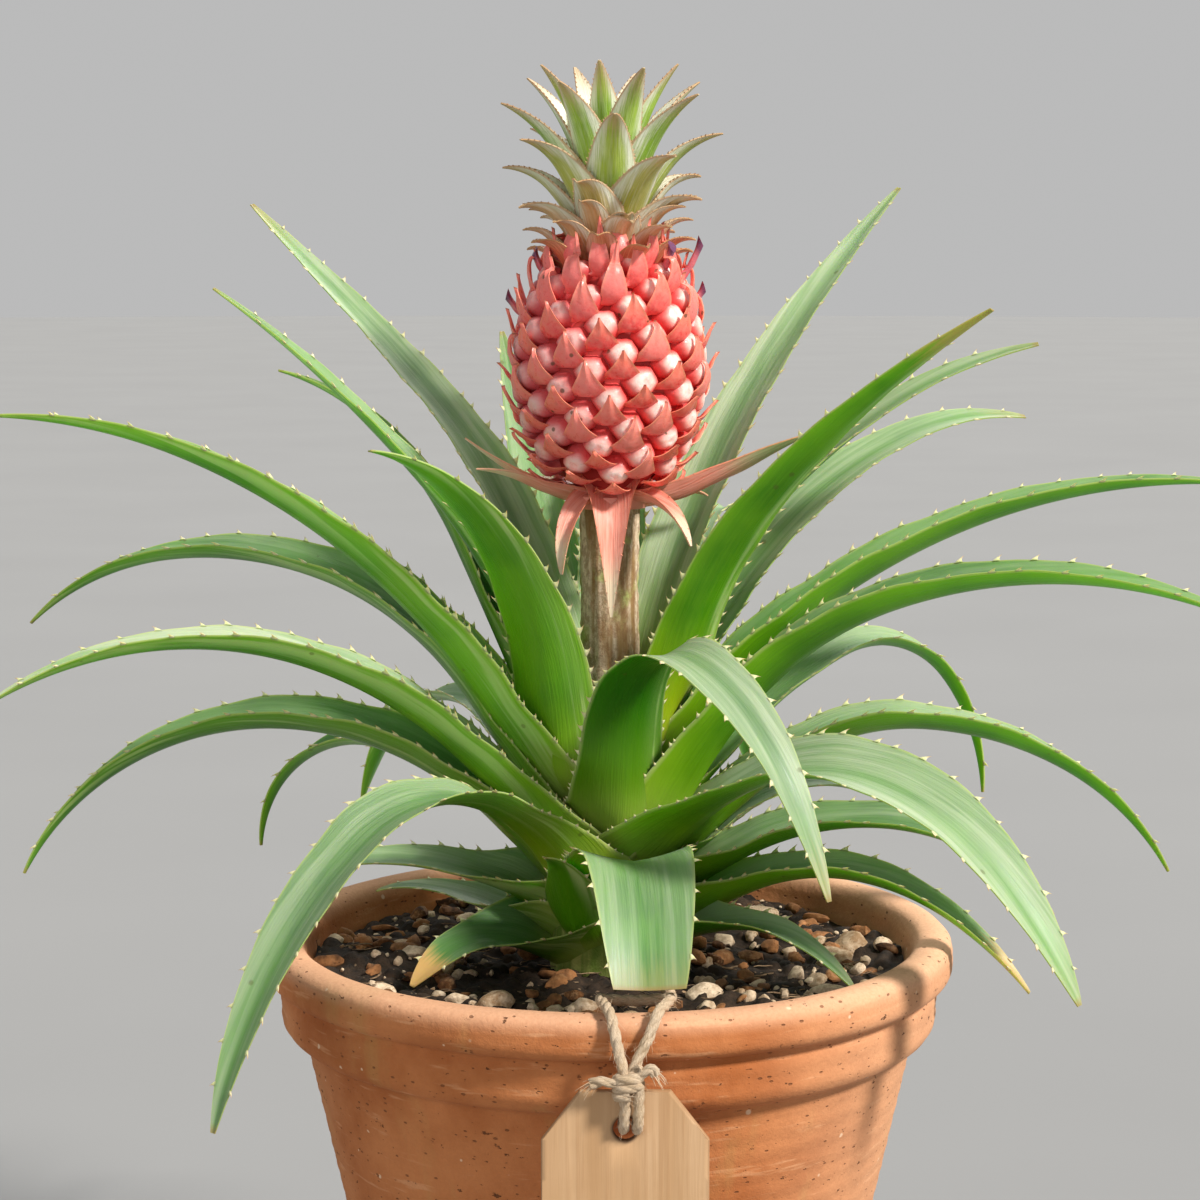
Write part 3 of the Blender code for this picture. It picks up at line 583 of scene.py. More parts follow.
# %% [markdown]
# ## Soil
#
# Potting mix is dark humus with pale pumice and brown bark in it. The bed is a disc of rings whose height is
# uneven, and crumbs stand up from it as many small domes. Stones are round things cut by random planes: in
# each direction the surface lies where the nearest of the planes does, softened, which gives worn facets.
# Bark chips are the same with a flat long form. Thin fibres lie across them.

# %% Soil
SOIL_HOLE = 20 * MM
CRUMBS = 900
LUMPS = 32
STONE_PLANES = 11
LITTER_INNER, LITTER_OUTER = 24 * MM, 97 * MM


def soil_height(x, y):
    """Height of the soil's uneven top."""
    return SOIL_LEVEL + (1.6 * np.sin(70 * x + 1.0) * np.cos(55 * y) + 1.0 * np.sin(120 * y + 60 * x)) * MM


def soil_wall(height):
    """Radius of the soil's side, which follows the pot's inside wall."""
    slope = (MOUTH_RADIUS - FLOOR_RADIUS) / (RIM - 4.5 * MM - FLOOR - 4 * MM)
    return FLOOR_RADIUS + slope * (height - FLOOR - 4 * MM) - 0.2 * MM


def bed_shape():
    """The bed from its floor up the side and in over the top to the stem's hole. A crumb is a dome, the root
    of 1 less the square of the distance over its size, and the highest crumb at a place raises the top."""
    top = np.linspace(soil_wall(SOIL_LEVEL) - 0.3 * MM, SOIL_HOLE - 2 * MM, 100)
    side = [(FLOOR_RADIUS - 5 * MM, FLOOR + 0.4 * MM)]
    side += [(soil_wall(z), z) for z in np.linspace(FLOOR + 5 * MM, SOIL_LEVEL - 4 * MM, 24)]
    profile = np.array(side + [(radius, SOIL_LEVEL) for radius in top] + [(14 * MM, RIM - 25 * MM)])
    rings = turned(profile, 260)
    on_top = np.zeros(len(profile))
    on_top[len(side):-1] = 1
    x, y = rings[..., 0], rings[..., 1]
    random = np.random.default_rng(11)
    spread = np.sqrt(random.uniform(0.04, 1, CRUMBS)) * MOUTH_RADIUS
    angle = random.uniform(0, math.tau, CRUMBS)
    sizes = random.uniform(1.2, 3.6, CRUMBS) * MM
    crumb = np.zeros_like(x)
    for crumb_x, crumb_y, size in zip(spread * np.cos(angle), spread * np.sin(angle), sizes):
        gap = (x - crumb_x) ** 2 + (y - crumb_y) ** 2
        crumb = np.maximum(crumb, size * 0.75 * np.sqrt(np.clip(1 - gap / size**2, 0, 1)))
    rough = (0.55 * ripple(rings, 420, 5) + 0.4 * ripple(rings, 1100, 6)) * MM
    rings[..., 2] += on_top[:, None] * (soil_height(x, y) - SOIL_LEVEL + crumb + rough)
    return tubes(rings)


def stone_rings(centre, size, turn, tilt, sharp, seed, rows=12, sides=14):
    """A cut stone: a ball whose radius in each direction is a soft least of the distances to random planes.
    The higher the power sharp, the harder the edges between them."""
    random = np.random.default_rng(seed)
    polar = np.linspace(0.06, math.pi - 0.06, rows)[:, None]
    angle = np.linspace(0, math.tau, sides, endpoint=False)[None, :]
    ways = vectors(np.sin(polar) * np.cos(angle), np.sin(polar) * np.sin(angle), np.cos(polar))
    planes = unit(random.normal(size=(STONE_PLANES, 3)))
    distance = random.uniform(0.66, 1.0, STONE_PLANES)
    reach = np.maximum(ways @ planes.T, 1e-3) / distance
    radius = (reach**sharp).sum(axis=-1) ** (-1 / sharp)
    rough = 1 + 0.05 * ripple(ways, 5, seed)
    ball = ways * (np.minimum(radius, 1.25) * rough)[..., None] * size
    ball = ball @ rotation(turn, tilt).T
    return ball + centre


def rotation(turn, tilt):
    """A tilt about X and then a turn about Z, as a matrix."""
    c, s, ct, st = math.cos(turn), math.sin(turn), math.cos(tilt), math.sin(tilt)
    return np.array([[c, -s, 0], [s, c, 0], [0, 0, 1]]) @ np.array([[1, 0, 0], [0, ct, -st], [0, st, ct]])


def scattered(count, seed, inner, outer):
    """Random places on the soil, evenly by area, and the generator that made them."""
    random = np.random.default_rng(seed)
    radius = np.sqrt(random.uniform((inner / outer) ** 2, 1, count)) * outer
    angle = random.uniform(0, math.tau, count)
    return radius * np.cos(angle), radius * np.sin(angle), random


def lumps_shape():
    """The pumice and bark that the solid soil carries, in the same places and sizes. Returns both kinds."""
    random = np.random.default_rng(7)
    stones, chips = [], []
    for number in range(LUMPS):
        radius = math.sqrt(random.uniform(0.14, 0.86)) * 98 * MM
        angle = number * GOLDEN
        stone = number % 5 < 3
        size = (random.uniform(2.6, 5.6) if stone else random.uniform(3, 5.5)) * MM
        radius -= max(radius + 1.4 * size - 95 * MM, 0)
        x, y = radius * math.cos(angle), radius * math.sin(angle)
        if stone:
            scale = np.array([random.uniform(1.0, 1.35), 1, random.uniform(0.6, 0.8)]) * size * 1.12
        else:
            scale = np.array([1.25, random.uniform(0.9, 1.5) / 2, 0.36]) * size * 1.15
        tilt, turn = random.uniform(-0.3, 0.3), random.uniform(0, math.tau)
        centre = np.array([x, y, soil_height(x, y) + (0.25 if stone else 0.15) * size])
        rings = stone_rings(centre, scale, turn, tilt, 10 if stone else 18, number, 18, 22)
        (stones if stone else chips).append(tubes(rings, tint=random.uniform(size=3)))
    return stones, chips


def litter_shape(count, seed, low, high, flat, sharp, sink):
    """Small stones or chips scattered over the bed, from low to high mm long. flat gives the ranges of their
    widths and heights as shares of the length, and sink is how much of its size a stone stands proud."""
    x, y, random = scattered(count, seed, LITTER_INNER, LITTER_OUTER)
    shapes = []
    for number in range(count):
        size = random.uniform(low, high) * MM
        scale = np.array([1.0, random.uniform(*flat[0]), random.uniform(*flat[1])]) * size
        centre = np.array([x[number], y[number], soil_height(x[number], y[number]) + sink * size])
        turn, tilt = random.uniform(0, math.tau), random.uniform(-0.6, 0.6)
        rings = stone_rings(centre, scale, turn, tilt, sharp, seed + number, 9, 10)
        shapes.append(tubes(rings, tint=random.uniform(size=3)))
    return shapes


def fibres_shape(count, seed):
    """Thin bent roots and fibres: each is a short arc that lies over the crumbs, as a thin tube."""
    x, y, random = scattered(count, seed, LITTER_INNER, LITTER_OUTER - 5 * MM)
    share = np.linspace(-1, 1, 9)
    length = random.uniform(4, 15, count)[:, None] * MM
    heading, bend = random.uniform(0, math.tau, (2, count))
    bend = (bend / math.pi - 1)[:, None] * 0.9
    angle = heading[:, None] + bend * share
    way = vectors(np.cos(angle), np.sin(angle), 0.12 * np.cos(share * 5 + bend * 7))
    line = np.cumsum(way, axis=1) * (length / len(share))[..., None]
    line[..., 0] += x[:, None]
    line[..., 1] += y[:, None]
    line[..., 2] += soil_height(line[..., 0], line[..., 1]) + 1.7 * MM
    side = vectors(-np.sin(angle), np.cos(angle), 0.0)
    thin = random.uniform(0.14, 0.42, count)[:, None, None] * MM
    rings = round_line(line, side, np.array([0, 0, 1.0]), (1 - 0.6 * share[:, None] ** 2) * thin, 4)
    return tubes(rings, tint=random.uniform(size=(count, 1, 1, 3)))


def humus_finish():
    """Nearly black humus with paler crumbs of dust."""
    made, wires, sockets = new_finish("humus", Roughness=0.92, Specular_IOR_Level=0.3)
    place = wires.place()
    clods = wires.spread(wires.noise(place, 170.0, 5.0, 0.65), 0.3, 0.75)
    colour = wires.mix(clods, (0.010, 0.007, 0.005), (0.055, 0.032, 0.018))
    dust = wires.use(specks, Vector=place, Scale=520.0, Amount=0.12, Size=0.4)
    colour = wires.mix(wires.times(dust, 0.6), colour, (0.30, 0.20, 0.12))
    wires.join(colour, sockets["Base Color"])
    wires.join(wires.use(relief, Vector=place, Scale=900.0, Distance=0.5 * MM), sockets["Normal"])
    return made


def lump_finish(name, dark, light, dust_colour, grain_scale, stretch=(1.0, 1.0, 1.0)):
    """Pumice or bark: two tones by lump and by noise, with dust in the hollows."""
    made, wires, sockets = new_finish(name, Roughness=0.9, Specular_IOR_Level=0.3)
    place = wires.place()
    tint, warm, _ = wires.parts(wires.value("tint"))
    grain = wires.noise(wires.stretched(place, stretch), grain_scale, 5.0, 0.65)
    tone = wires.plus(wires.times(tint, 0.6), wires.spread(grain, 0.3, 0.7, -0.15, 0.5))
    colour = wires.mix(tone, dark, light)
    dust = wires.spread(wires.noise(place, 300.0, 3.0, 0.7), 0.5, 0.7)
    dust = wires.times(dust, wires.spread(warm, 0.0, 1.0, 0.15, 0.7))
    wires.join(wires.mix(dust, colour, dust_colour), sockets["Base Color"])
    pores = wires.use(specks, Vector=place, Scale=1100.0, Amount=0.45, Size=0.4)
    height = wires.reckon("SUBTRACT", grain, wires.times(pores, 0.5))
    wires.join(wires.bump(height, 0.5 * MM), sockets["Normal"])
    return made


piece("soil_bed", bed_shape(), humus_finish(), "soil", "soil")
stones, chips = lumps_shape()
stones += litter_shape(100, 100, 1.2, 3.9, ((0.7, 1.0), (0.55, 0.85)), 16, 0.4)
chips += litter_shape(170, 400, 1.8, 5.6, ((0.4, 0.75), (0.3, 0.6)), 22, 0.35)
stones += litter_shape(160, 1600, 0.5, 1.4, ((0.7, 1.0), (0.6, 0.9)), 12, 0.9)
pumice = lump_finish("pumice", (0.34, 0.21, 0.11), (0.84, 0.67, 0.48), (0.24, 0.13, 0.05), 420.0)
bark = lump_finish(
    "bark", (0.040, 0.015, 0.005), (0.40, 0.17, 0.060), (0.50, 0.28, 0.13), 240.0, stretch=(1.0, 0.3, 1.0)
)
fibre = lump_finish("fibre", (0.10, 0.055, 0.03), (0.42, 0.28, 0.16), (0.12, 0.07, 0.04), 500.0)
piece("pumice_stones", together(*stones), pumice, "soil")
piece("bark_chips", together(*chips), bark, "soil")
piece("soil_fibres", fibres_shape(110, 900), fibre, "soil")
print("stones:", len(stones), "chips:", len(chips))

# %% [markdown]
# ## Leaves
#
# A pineapple leaf is a long channel: waxy and silvery inside, bright green outside, with a pale margin that
# carries forward-hooked spines. Its midline is walked in small steps, with a rise that is read from a few
# angles, and at each step a section is laid across it. The section is a rounded V. The blade is thickest
# at the rib and thin at its margins, and its foot clasps the core. Most leaves repeat the row that their
# solid was made from. The others are a little wider, narrower or more deeply channelled, and two hang lower.

# %% Leaf rows
BASE_SHARE = 2.2  # width of a leaf's foot over the core's radius
LEAST_FOOT = 0.8  # a foot is at least this share of its blade's width
BASE_SPREAD = 40 * MM  # the run over which the foot becomes the blade
BASE_RISE = math.radians(42)  # the steepest that a foot leaves the core
BASE_TURN = 16 * MM  # the run over which it turns to its own rise
BASE_CHANNEL = 0.85  # depth of the foot's channel over its half width
MARGIN_THICKNESS = 0.5 * MM
RIB_THICKNESS = 2.2 * MM
TIP_WIDTH = 1.6 * MM
SLOW_WAVE, FAST_WAVE = 46 * MM, 21 * MM  # lengths of the two waves in a margin
FIRST_SPINE, LAST_SPINE = 0.03, 0.955  # shares of the leaf's length
CORE_FOOT_RADIUS = 20 * MM
STALK_RADIUS = 10 * MM
CORE_TOP = RIM + 78 * MM

# Each row: heading, height of the foot above the rim, length, width, rises at even steps, turn, depth of the
# channel over the half width, and roll at the foot and at the tip. Angles in degrees, lengths in mm.
LEAVES = {
    "leaf_left_01": (138, 71, 242, 25, (76, 60, 39, 35, 35), 0, 0.45, (0, -8)),
    "leaf_left_02": (-178, 60, 196, 24, (78, 67, 50, 44, 36), 0, 0.5, (0, -10)),
    "leaf_left_03": (163, 50, 176, 20, (70, 65, 64, 44, 14), 0, 0.7, (0, 5)),
    "leaf_left_04": (-143, 48, 150, 31, (85, 80, 62, 42, 12), 0, 0.3, (35, 10)),
    "leaf_left_05": (-173, 42, 236, 27, (60, 53, 38, 22, 2), 0, 0.8, (0, 5)),
    "leaf_left_06": (164, 31, 240, 29, (63, 52, 19, -8, -42), 0, 0.75, (-12, -3)),
    "leaf_left_07": (-165, 24.5, 216, 26, (55, 43, 21, -5, -30), 0, 0.8, (-4, 0)),
    "leaf_left_08": (179, 18.5, 214, 27, (50, 32, 2, -30, -62), 0, 0.8, (-10, 0)),
    "leaf_left_09": (152, 12, 158, 21, (45, 35, 14, -35, -85), 0, 0.6, (-10, -10)),
    "leaf_left_10": (-137, 15, 202, 29, (68, 24, -36, -58, -75), -8, 0.42, (8, -24)),
    "leaf_left_11": (-174, 4, 86, 22, (42, 24, 12, 0, -28), 0, 0.4, (-10, -15)),
    "leaf_left_12": (160, -4, 68, 18, (25, 18, 12, 0, -20), 0, 0.3, (-10, -10)),
    "leaf_left_13": (-149, -8, 62, 22, (28, 22, 5, -25, -40), 10, 0.3, (-10, -20)),
    "leaf_right_01": (47, 74, 230, 25, (82, 60, 48, 40, 36), 0, 0.45, (5, 10)),
    "leaf_right_02": (-37, 58, 204, 24, (78, 66, 47, 37, 30), 0, 0.3, (-35, -25)),
    "leaf_right_03": (-3, 66, 190, 25, (78, 64, 47, 32, 12), 0, 0.45, (10, 30)),
    "leaf_right_04": (23, 54, 198, 24, (78, 58, 42, 22, -8), 0, 0.45, (15, 28)),
    "leaf_right_05": (1, 48, 230, 25, (66, 42, 28, 12, -4), 0, 0.85, (0, 4)),
    "leaf_right_06": (-18, 32, 230, 27, (67, 50, 21, 0, -22), 0, 0.85, (2, 8)),
    "leaf_right_07": (28, 28, 192, 21, (50, 42, 21, -50, -86), 0, 0.6, (10, 10)),
    "leaf_right_08": (4, 18, 208, 23, (46, 38, -4, -30, -60), 0, 0.8, (4, -2)),
    "leaf_right_09": (-33, 23, 192, 37, (55, 28, -13, -45, -62), 0, 0.42, (8, 22)),
    "leaf_right_10": (-78, 34, 188, 31, (88, 84, 46, -12, -40, -62, -72), 44, 0.25, (0, 20)),
    "leaf_right_11": (-14, 0, 138, 20, (34, 24, -8, -34, -50), 0, 0.75, (6, 8)),
    "leaf_right_12": (-40, -5, 86, 18, (35, 20, 5, -20, -38), 0, 0.5, (5, 10)),
    "leaf_right_13": (-16, 9, 146, 22, (40, 28, 6, -22, -50), 0, 0.65, (10, 14)),
    "leaf_right_14": (46, 4, 124, 22, (42, 30, 10, -5, -20), 0, 0.5, (8, 10)),
    "leaf_right_15": (22, 13, 105, 22, (50, 38, 15, -15, -30), 0, 0.5, (12, 20)),
    "leaf_back_01": (88, 66, 190, 25, (72, 60, 54, 48, 40), 0, 0.5, (0, 0)),
    "leaf_back_02": (111, 57, 168, 25, (65, 52, 55, 58, 60), 0, 0.5, (0, 0)),
    "leaf_back_03": (72, 43, 200, 24, (70, 50, 30, 0, -30), 0, 0.6, (5, 5)),
    "leaf_back_04": (98, 36, 205, 24, (62, 48, 30, 0, -30), 0, 0.6, (-5, -5)),
    "leaf_back_05": (71, 24, 190, 24, (50, 30, 0, -35, -60), 0, 0.6, (5, 5)),
    "leaf_back_06": (122, 20, 195, 24, (50, 30, 0, -35, -60), 0, 0.6, (-5, -5)),
    "leaf_back_07": (90, 8, 150, 23, (42, 28, 5, -20, -45), 0, 0.5, (0, 0)),
    "leaf_back_08": (124, 47, 105, 20, (60, 60, 55, 48), 0, 0.5, (0, 0)),
    "leaf_front_01": (-113, -1, 44, 20, (50, 66, 62, 20), -12, 0.35, (0, 0)),
    "leaf_front_cut": (-81, 7, 107, 38, (52, 42, 2, -42, -62), -6, 0.3, (0, 0)),
}
CUT_END = 22 * MM  # width of the cut leaf's end

# How soon each leaf narrows: the lower, the sooner.
PLAIN_TAPER = 2.2
TAPERS = {
    "leaf_left_01": 1.8, "leaf_left_02": 1.8, "leaf_left_04": 1.8, "leaf_left_12": 1.7,
    "leaf_right_01": 1.7, "leaf_right_02": 1.25, "leaf_right_03": 1.6, "leaf_right_09": 2.3,
    "leaf_right_10": 1.6, "leaf_right_12": 1.7,
}

# Each leaf's look: how silvery its inside is, partly waxy scales and partly a painted sky reflection, how
# dry its tip is, and how yellow its foot is.
PLAIN_LOOK = (0.62, 0.12, 0.15)
LOOKS = {
    "leaf_left_01": (0.85, 0.35, 0.1),
    "leaf_left_02": (0.45, 0.15, 0.2),
    "leaf_left_03": (0.30, 0.10, 0.1),
    "leaf_left_04": (0.55, 0.05, 0.3),
    "leaf_left_05": (0.35, 0.15, 0.1),
    "leaf_left_06": (0.45, 0.10, 0.1),
    "leaf_left_07": (0.95, 0.05, 0.2),
    "leaf_left_08": (0.35, 0.00, 0.1),
    "leaf_left_09": (0.25, 0.05, 0.1),
    "leaf_left_10": (0.62, 0.00, 0.5),
    "leaf_left_12": (0.90, 0.30, 0.2),
    "leaf_left_13": (0.25, 0.95, 0.1),
    "leaf_right_01": (0.95, 0.10, 0.3),
    "leaf_right_02": (0.45, 0.75, 0.9),
    "leaf_right_03": (0.80, 0.15, 0.6),
    "leaf_right_04": (0.80, 0.25, 0.2),
    "leaf_right_05": (0.40, 0.05, 0.2),
    "leaf_right_06": (0.40, 0.05, 0.2),
    "leaf_right_09": (0.90, 0.10, 0.2),
    "leaf_right_10": (0.90, 0.30, 0.2),
    "leaf_right_11": (0.60, 0.80, 0.2),
    "leaf_right_13": (0.60, 0.80, 0.2),
    "leaf_front_cut": (0.55, 0.20, 0.1),
}

# How deep each leaf's green is: 0 is lime and 1 is a dark blue green. It is partly the leaf's own green
# and partly painted shade on the leaves that stand out of the sun.
PLAIN_TONE = 0.3
TONES_AND_SHADE = {
    "leaf_left_01": 0.45, "leaf_left_04": 0.35, "leaf_left_05": 0.2, "leaf_left_06": 0.45,
    "leaf_left_07": 0.2, "leaf_left_08": 0.6, "leaf_left_10": 0.6, "leaf_left_11": 0.6,
    "leaf_left_12": 0.6, "leaf_left_13": 0.75, "leaf_right_01": 0.5, "leaf_right_02": 0.2,
    "leaf_right_05": 0.25, "leaf_right_06": 0.25, "leaf_right_07": 0.2, "leaf_right_10": 0.92,
    "leaf_right_12": 0.85, "leaf_right_13": 0.6, "leaf_front_01": 0.6, "leaf_front_cut": 0.25,
}


# %% Blade
def core_radius(height):
    """Radius of the core at a height: it narrows evenly from the soil to the stalk."""
    share = np.clip((height - SOIL_LEVEL) / (CORE_TOP - SOIL_LEVEL), 0, 1)
    return CORE_FOOT_RADIUS + (STALK_RADIUS + 1 * MM - CORE_FOOT_RADIUS) * share


def midline(heading, start, length, rises, turn, base_rise, steps=400):
    """A blade's midline: at each small step it goes on in its own direction, whose rise is read from rises
    and whose heading turns evenly. Returns the runs, points, directions and sideways directions."""
    run = np.linspace(0, length, steps + 1)
    share = run / length
    rise = np.radians(np.interp(share, np.linspace(0, 1, len(rises)), rises))
    base = np.minimum(rise, base_rise)
    rise = base + (rise - base) * smooth_step(run / BASE_TURN)
    heading = math.radians(heading) + math.radians(turn) * share
    direction = vectors(np.cos(rise) * np.cos(heading), np.cos(rise) * np.sin(heading), np.sin(rise))
    middle = (direction[1:] + direction[:-1]) / 2 * (length / steps)
    points = np.vstack([np.zeros(3), np.cumsum(middle, axis=0)]) + start
    return run, points, direction, vectors(-np.sin(heading), np.cos(heading), 0.0)


def at(places, run, values):
    """Rows of values read at these places along the run."""
    return np.stack([np.interp(places, run, values[:, k]) for k in range(values.shape[1])], axis=1)


def spine_rings(root, outward, along, flat, length, width, hook, rows=6, sides=6):
    """Many thorns at once. Each centre line leaves its root outwards and bends forward as the square of its
    share, and its oval section shrinks to a point."""
    share = np.linspace(0, 1, rows)[None, :, None]
    line = root[:, None] + outward[:, None] * (length[:, None, None] * share)
    line = line + along[:, None] * (length[:, None, None] * hook * share**2)
    ring = np.linspace(0, math.tau, sides, endpoint=False)[:, None]
    long_way = along[:, None, None] * np.cos(ring) * (width[:, None, None] * (1 - share) ** 1.3)[..., None]
    thin_way = flat[:, None, None] * np.sin(ring) * (0.36 * MM * (1 - share) ** 0.8 + 0.03 * MM)[..., None]
    return line[:, :, None] + long_way + thin_way


def blade(row, look, seed, tone=PLAIN_TONE, end_width=TIP_WIDTH, start_radius=None, base_width=None,
          spread=BASE_SPREAD, base_rise=BASE_RISE, rib=RIB_THICKNESS, root=14 * MM, step=1.9 * MM, columns=13,
          spine=3.1 * MM, spacing=(3.4 * MM, 11.5 * MM), wave=0.7 * MM, margin=MARGIN_THICKNESS,
          taper=PLAIN_TAPER):
    """One leaf with its spines. Half the width goes from the foot's to the blade's and closes towards the tip
    as (1 - share^taper)^0.9. Across it, v runs from 1 to -1, the inside is lifted as |v|^1.5, and the outside
    lies one thickness under. spine is the longest thorn, and spacing holds the gaps at foot and tip."""
    heading, height, length, width, rises, turn, channel, (roll_base, roll_tip) = row
    random = np.random.default_rng(seed)
    length, width, height = length * MM, width * MM, RIM + height * MM
    start_radius = start_radius or core_radius(height) + 0.6 * MM
    base_width = base_width or BASE_SHARE * core_radius(height)
    angle = math.radians(heading)
    start = np.array([start_radius * math.cos(angle), start_radius * math.sin(angle), height])
    run, points, direction, side = midline(heading, start, length, rises, turn, base_rise)

    def frame_at(places):
        """Place, along, across and up at these runs. Below the base, the line goes straight back."""
        held = np.clip(places, 0, length)
        place, along, across = (at(held, run, values) for values in (points, direction, side))
        place = place + along * np.minimum(places, 0)[:, None]
        up = unit(np.cross(along, across))
        roll = roll_base + (roll_tip - roll_base) * held / length
        roll = np.radians(roll * smooth_step(held / length / 0.25))[:, None]
        rolled = across * np.cos(roll) + up * np.sin(roll)
        return place, along, rolled, up * np.cos(roll) - across * np.sin(roll)

    def section(places):
        """Half width, lift, rib thickness, the two margins' waves and share of the length at these runs."""
        held = np.clip(places, 0, length)
        share = held / length
        base_share = max(base_width / width, LEAST_FOOT)
        widen = base_share + (1 - base_share) * smooth_step(held / spread)
        half = (width - end_width) / 2 * widen * (1 - share**taper) ** 0.9 + end_width / 2
        deep = BASE_CHANNEL + (channel - BASE_CHANNEL) * smooth_step(held / spread)
        lift = half * deep * (1 - 0.3 * share)
        depth = margin + (rib - margin) * (1 - share)
        shape = smooth_step(share / 0.2) * (1 - share)
        slow, fast = held / SLOW_WAVE * math.tau, held / FAST_WAVE * math.tau
        waves = [wave * shape * (np.sin(slow + phase) + 0.5 * np.sin(fast + 2 * phase)) for phase in phases]
        return half, lift, depth, waves, share

    phases = random.uniform(0, math.tau, 2)
    places = np.linspace(-root, length, max(int((length + root) / step), 8))
    place, along, across, up = frame_at(places)
    half, lift, depth, (wave_left, wave_right), share = section(places)
    v = np.sin(np.linspace(math.pi / 2, -math.pi / 2, columns))
    flex = np.where(v > 0, wave_left[:, None], wave_right[:, None]) * v**2
    inside = (
        place[:, None]
        + across[:, None] * (half[:, None] * v)[..., None]
        + up[:, None] * (lift[:, None] * np.abs(v) ** 1.5 + flex)[..., None]
    )
    thick = margin + (depth[:, None] - margin) * (1 - np.abs(v) ** 1.5)
    outside = inside - up[:, None] * thick[..., None]
    rings = np.concatenate([inside, outside[:, ::-1]], axis=1)
    both = np.concatenate([v, v[::-1]])
    face = np.concatenate([np.ones(columns), np.zeros(columns)])
    shapes = [tubes(
        rings,
        blade=vectors(both, share[:, None], face),
        grain=vectors(half[:, None] / MM * both, places[:, None] / MM * 0.035, seed * 7.3),
        look=look,
        spine=[0.0, 0.0, tone],
    )]
    even = []
    spot = length * FIRST_SPINE
    while spot < length * LAST_SPINE:
        even.append(spot)
        spot += spacing[0] + (spacing[1] - spacing[0]) * float(smooth_step(spot / length / 0.75))
    for sign, margin_side in ((1, 0), (-1, 1)):
        spots = np.array(even) + random.uniform(-0.18, 0.18, len(even)) * spacing[1]
        spots = np.clip(spots, 0, length * 0.97)
        place, along, across, up = frame_at(spots)
        half, lift, _, waves, share = section(spots)
        foot = place + across * (sign * (half - 0.25 * MM))[:, None]
        foot += up * (lift + waves[margin_side] - margin / 2)[:, None]
        outward = unit(across * sign + up * (1.2 * lift / half)[:, None])
        reach = spine * (0.36 + 0.64 * smooth_step(share / 0.40)) * (1 - 0.40 * share)
        reach = reach * random.uniform(0.8, 1.15, len(spots))
        rings = spine_rings(foot, outward, along, np.cross(outward, along), reach, reach * 0.60, 0.75)
        along_spine = np.linspace(0, 1, rings.shape[1])[:, None]
        near = vectors(1.0, share[:, None, None], 1.0)
        shapes.append(tubes(rings, spine=vectors(along_spine, 1.0, tone), blade=near, look=look))
    return together(*shapes)


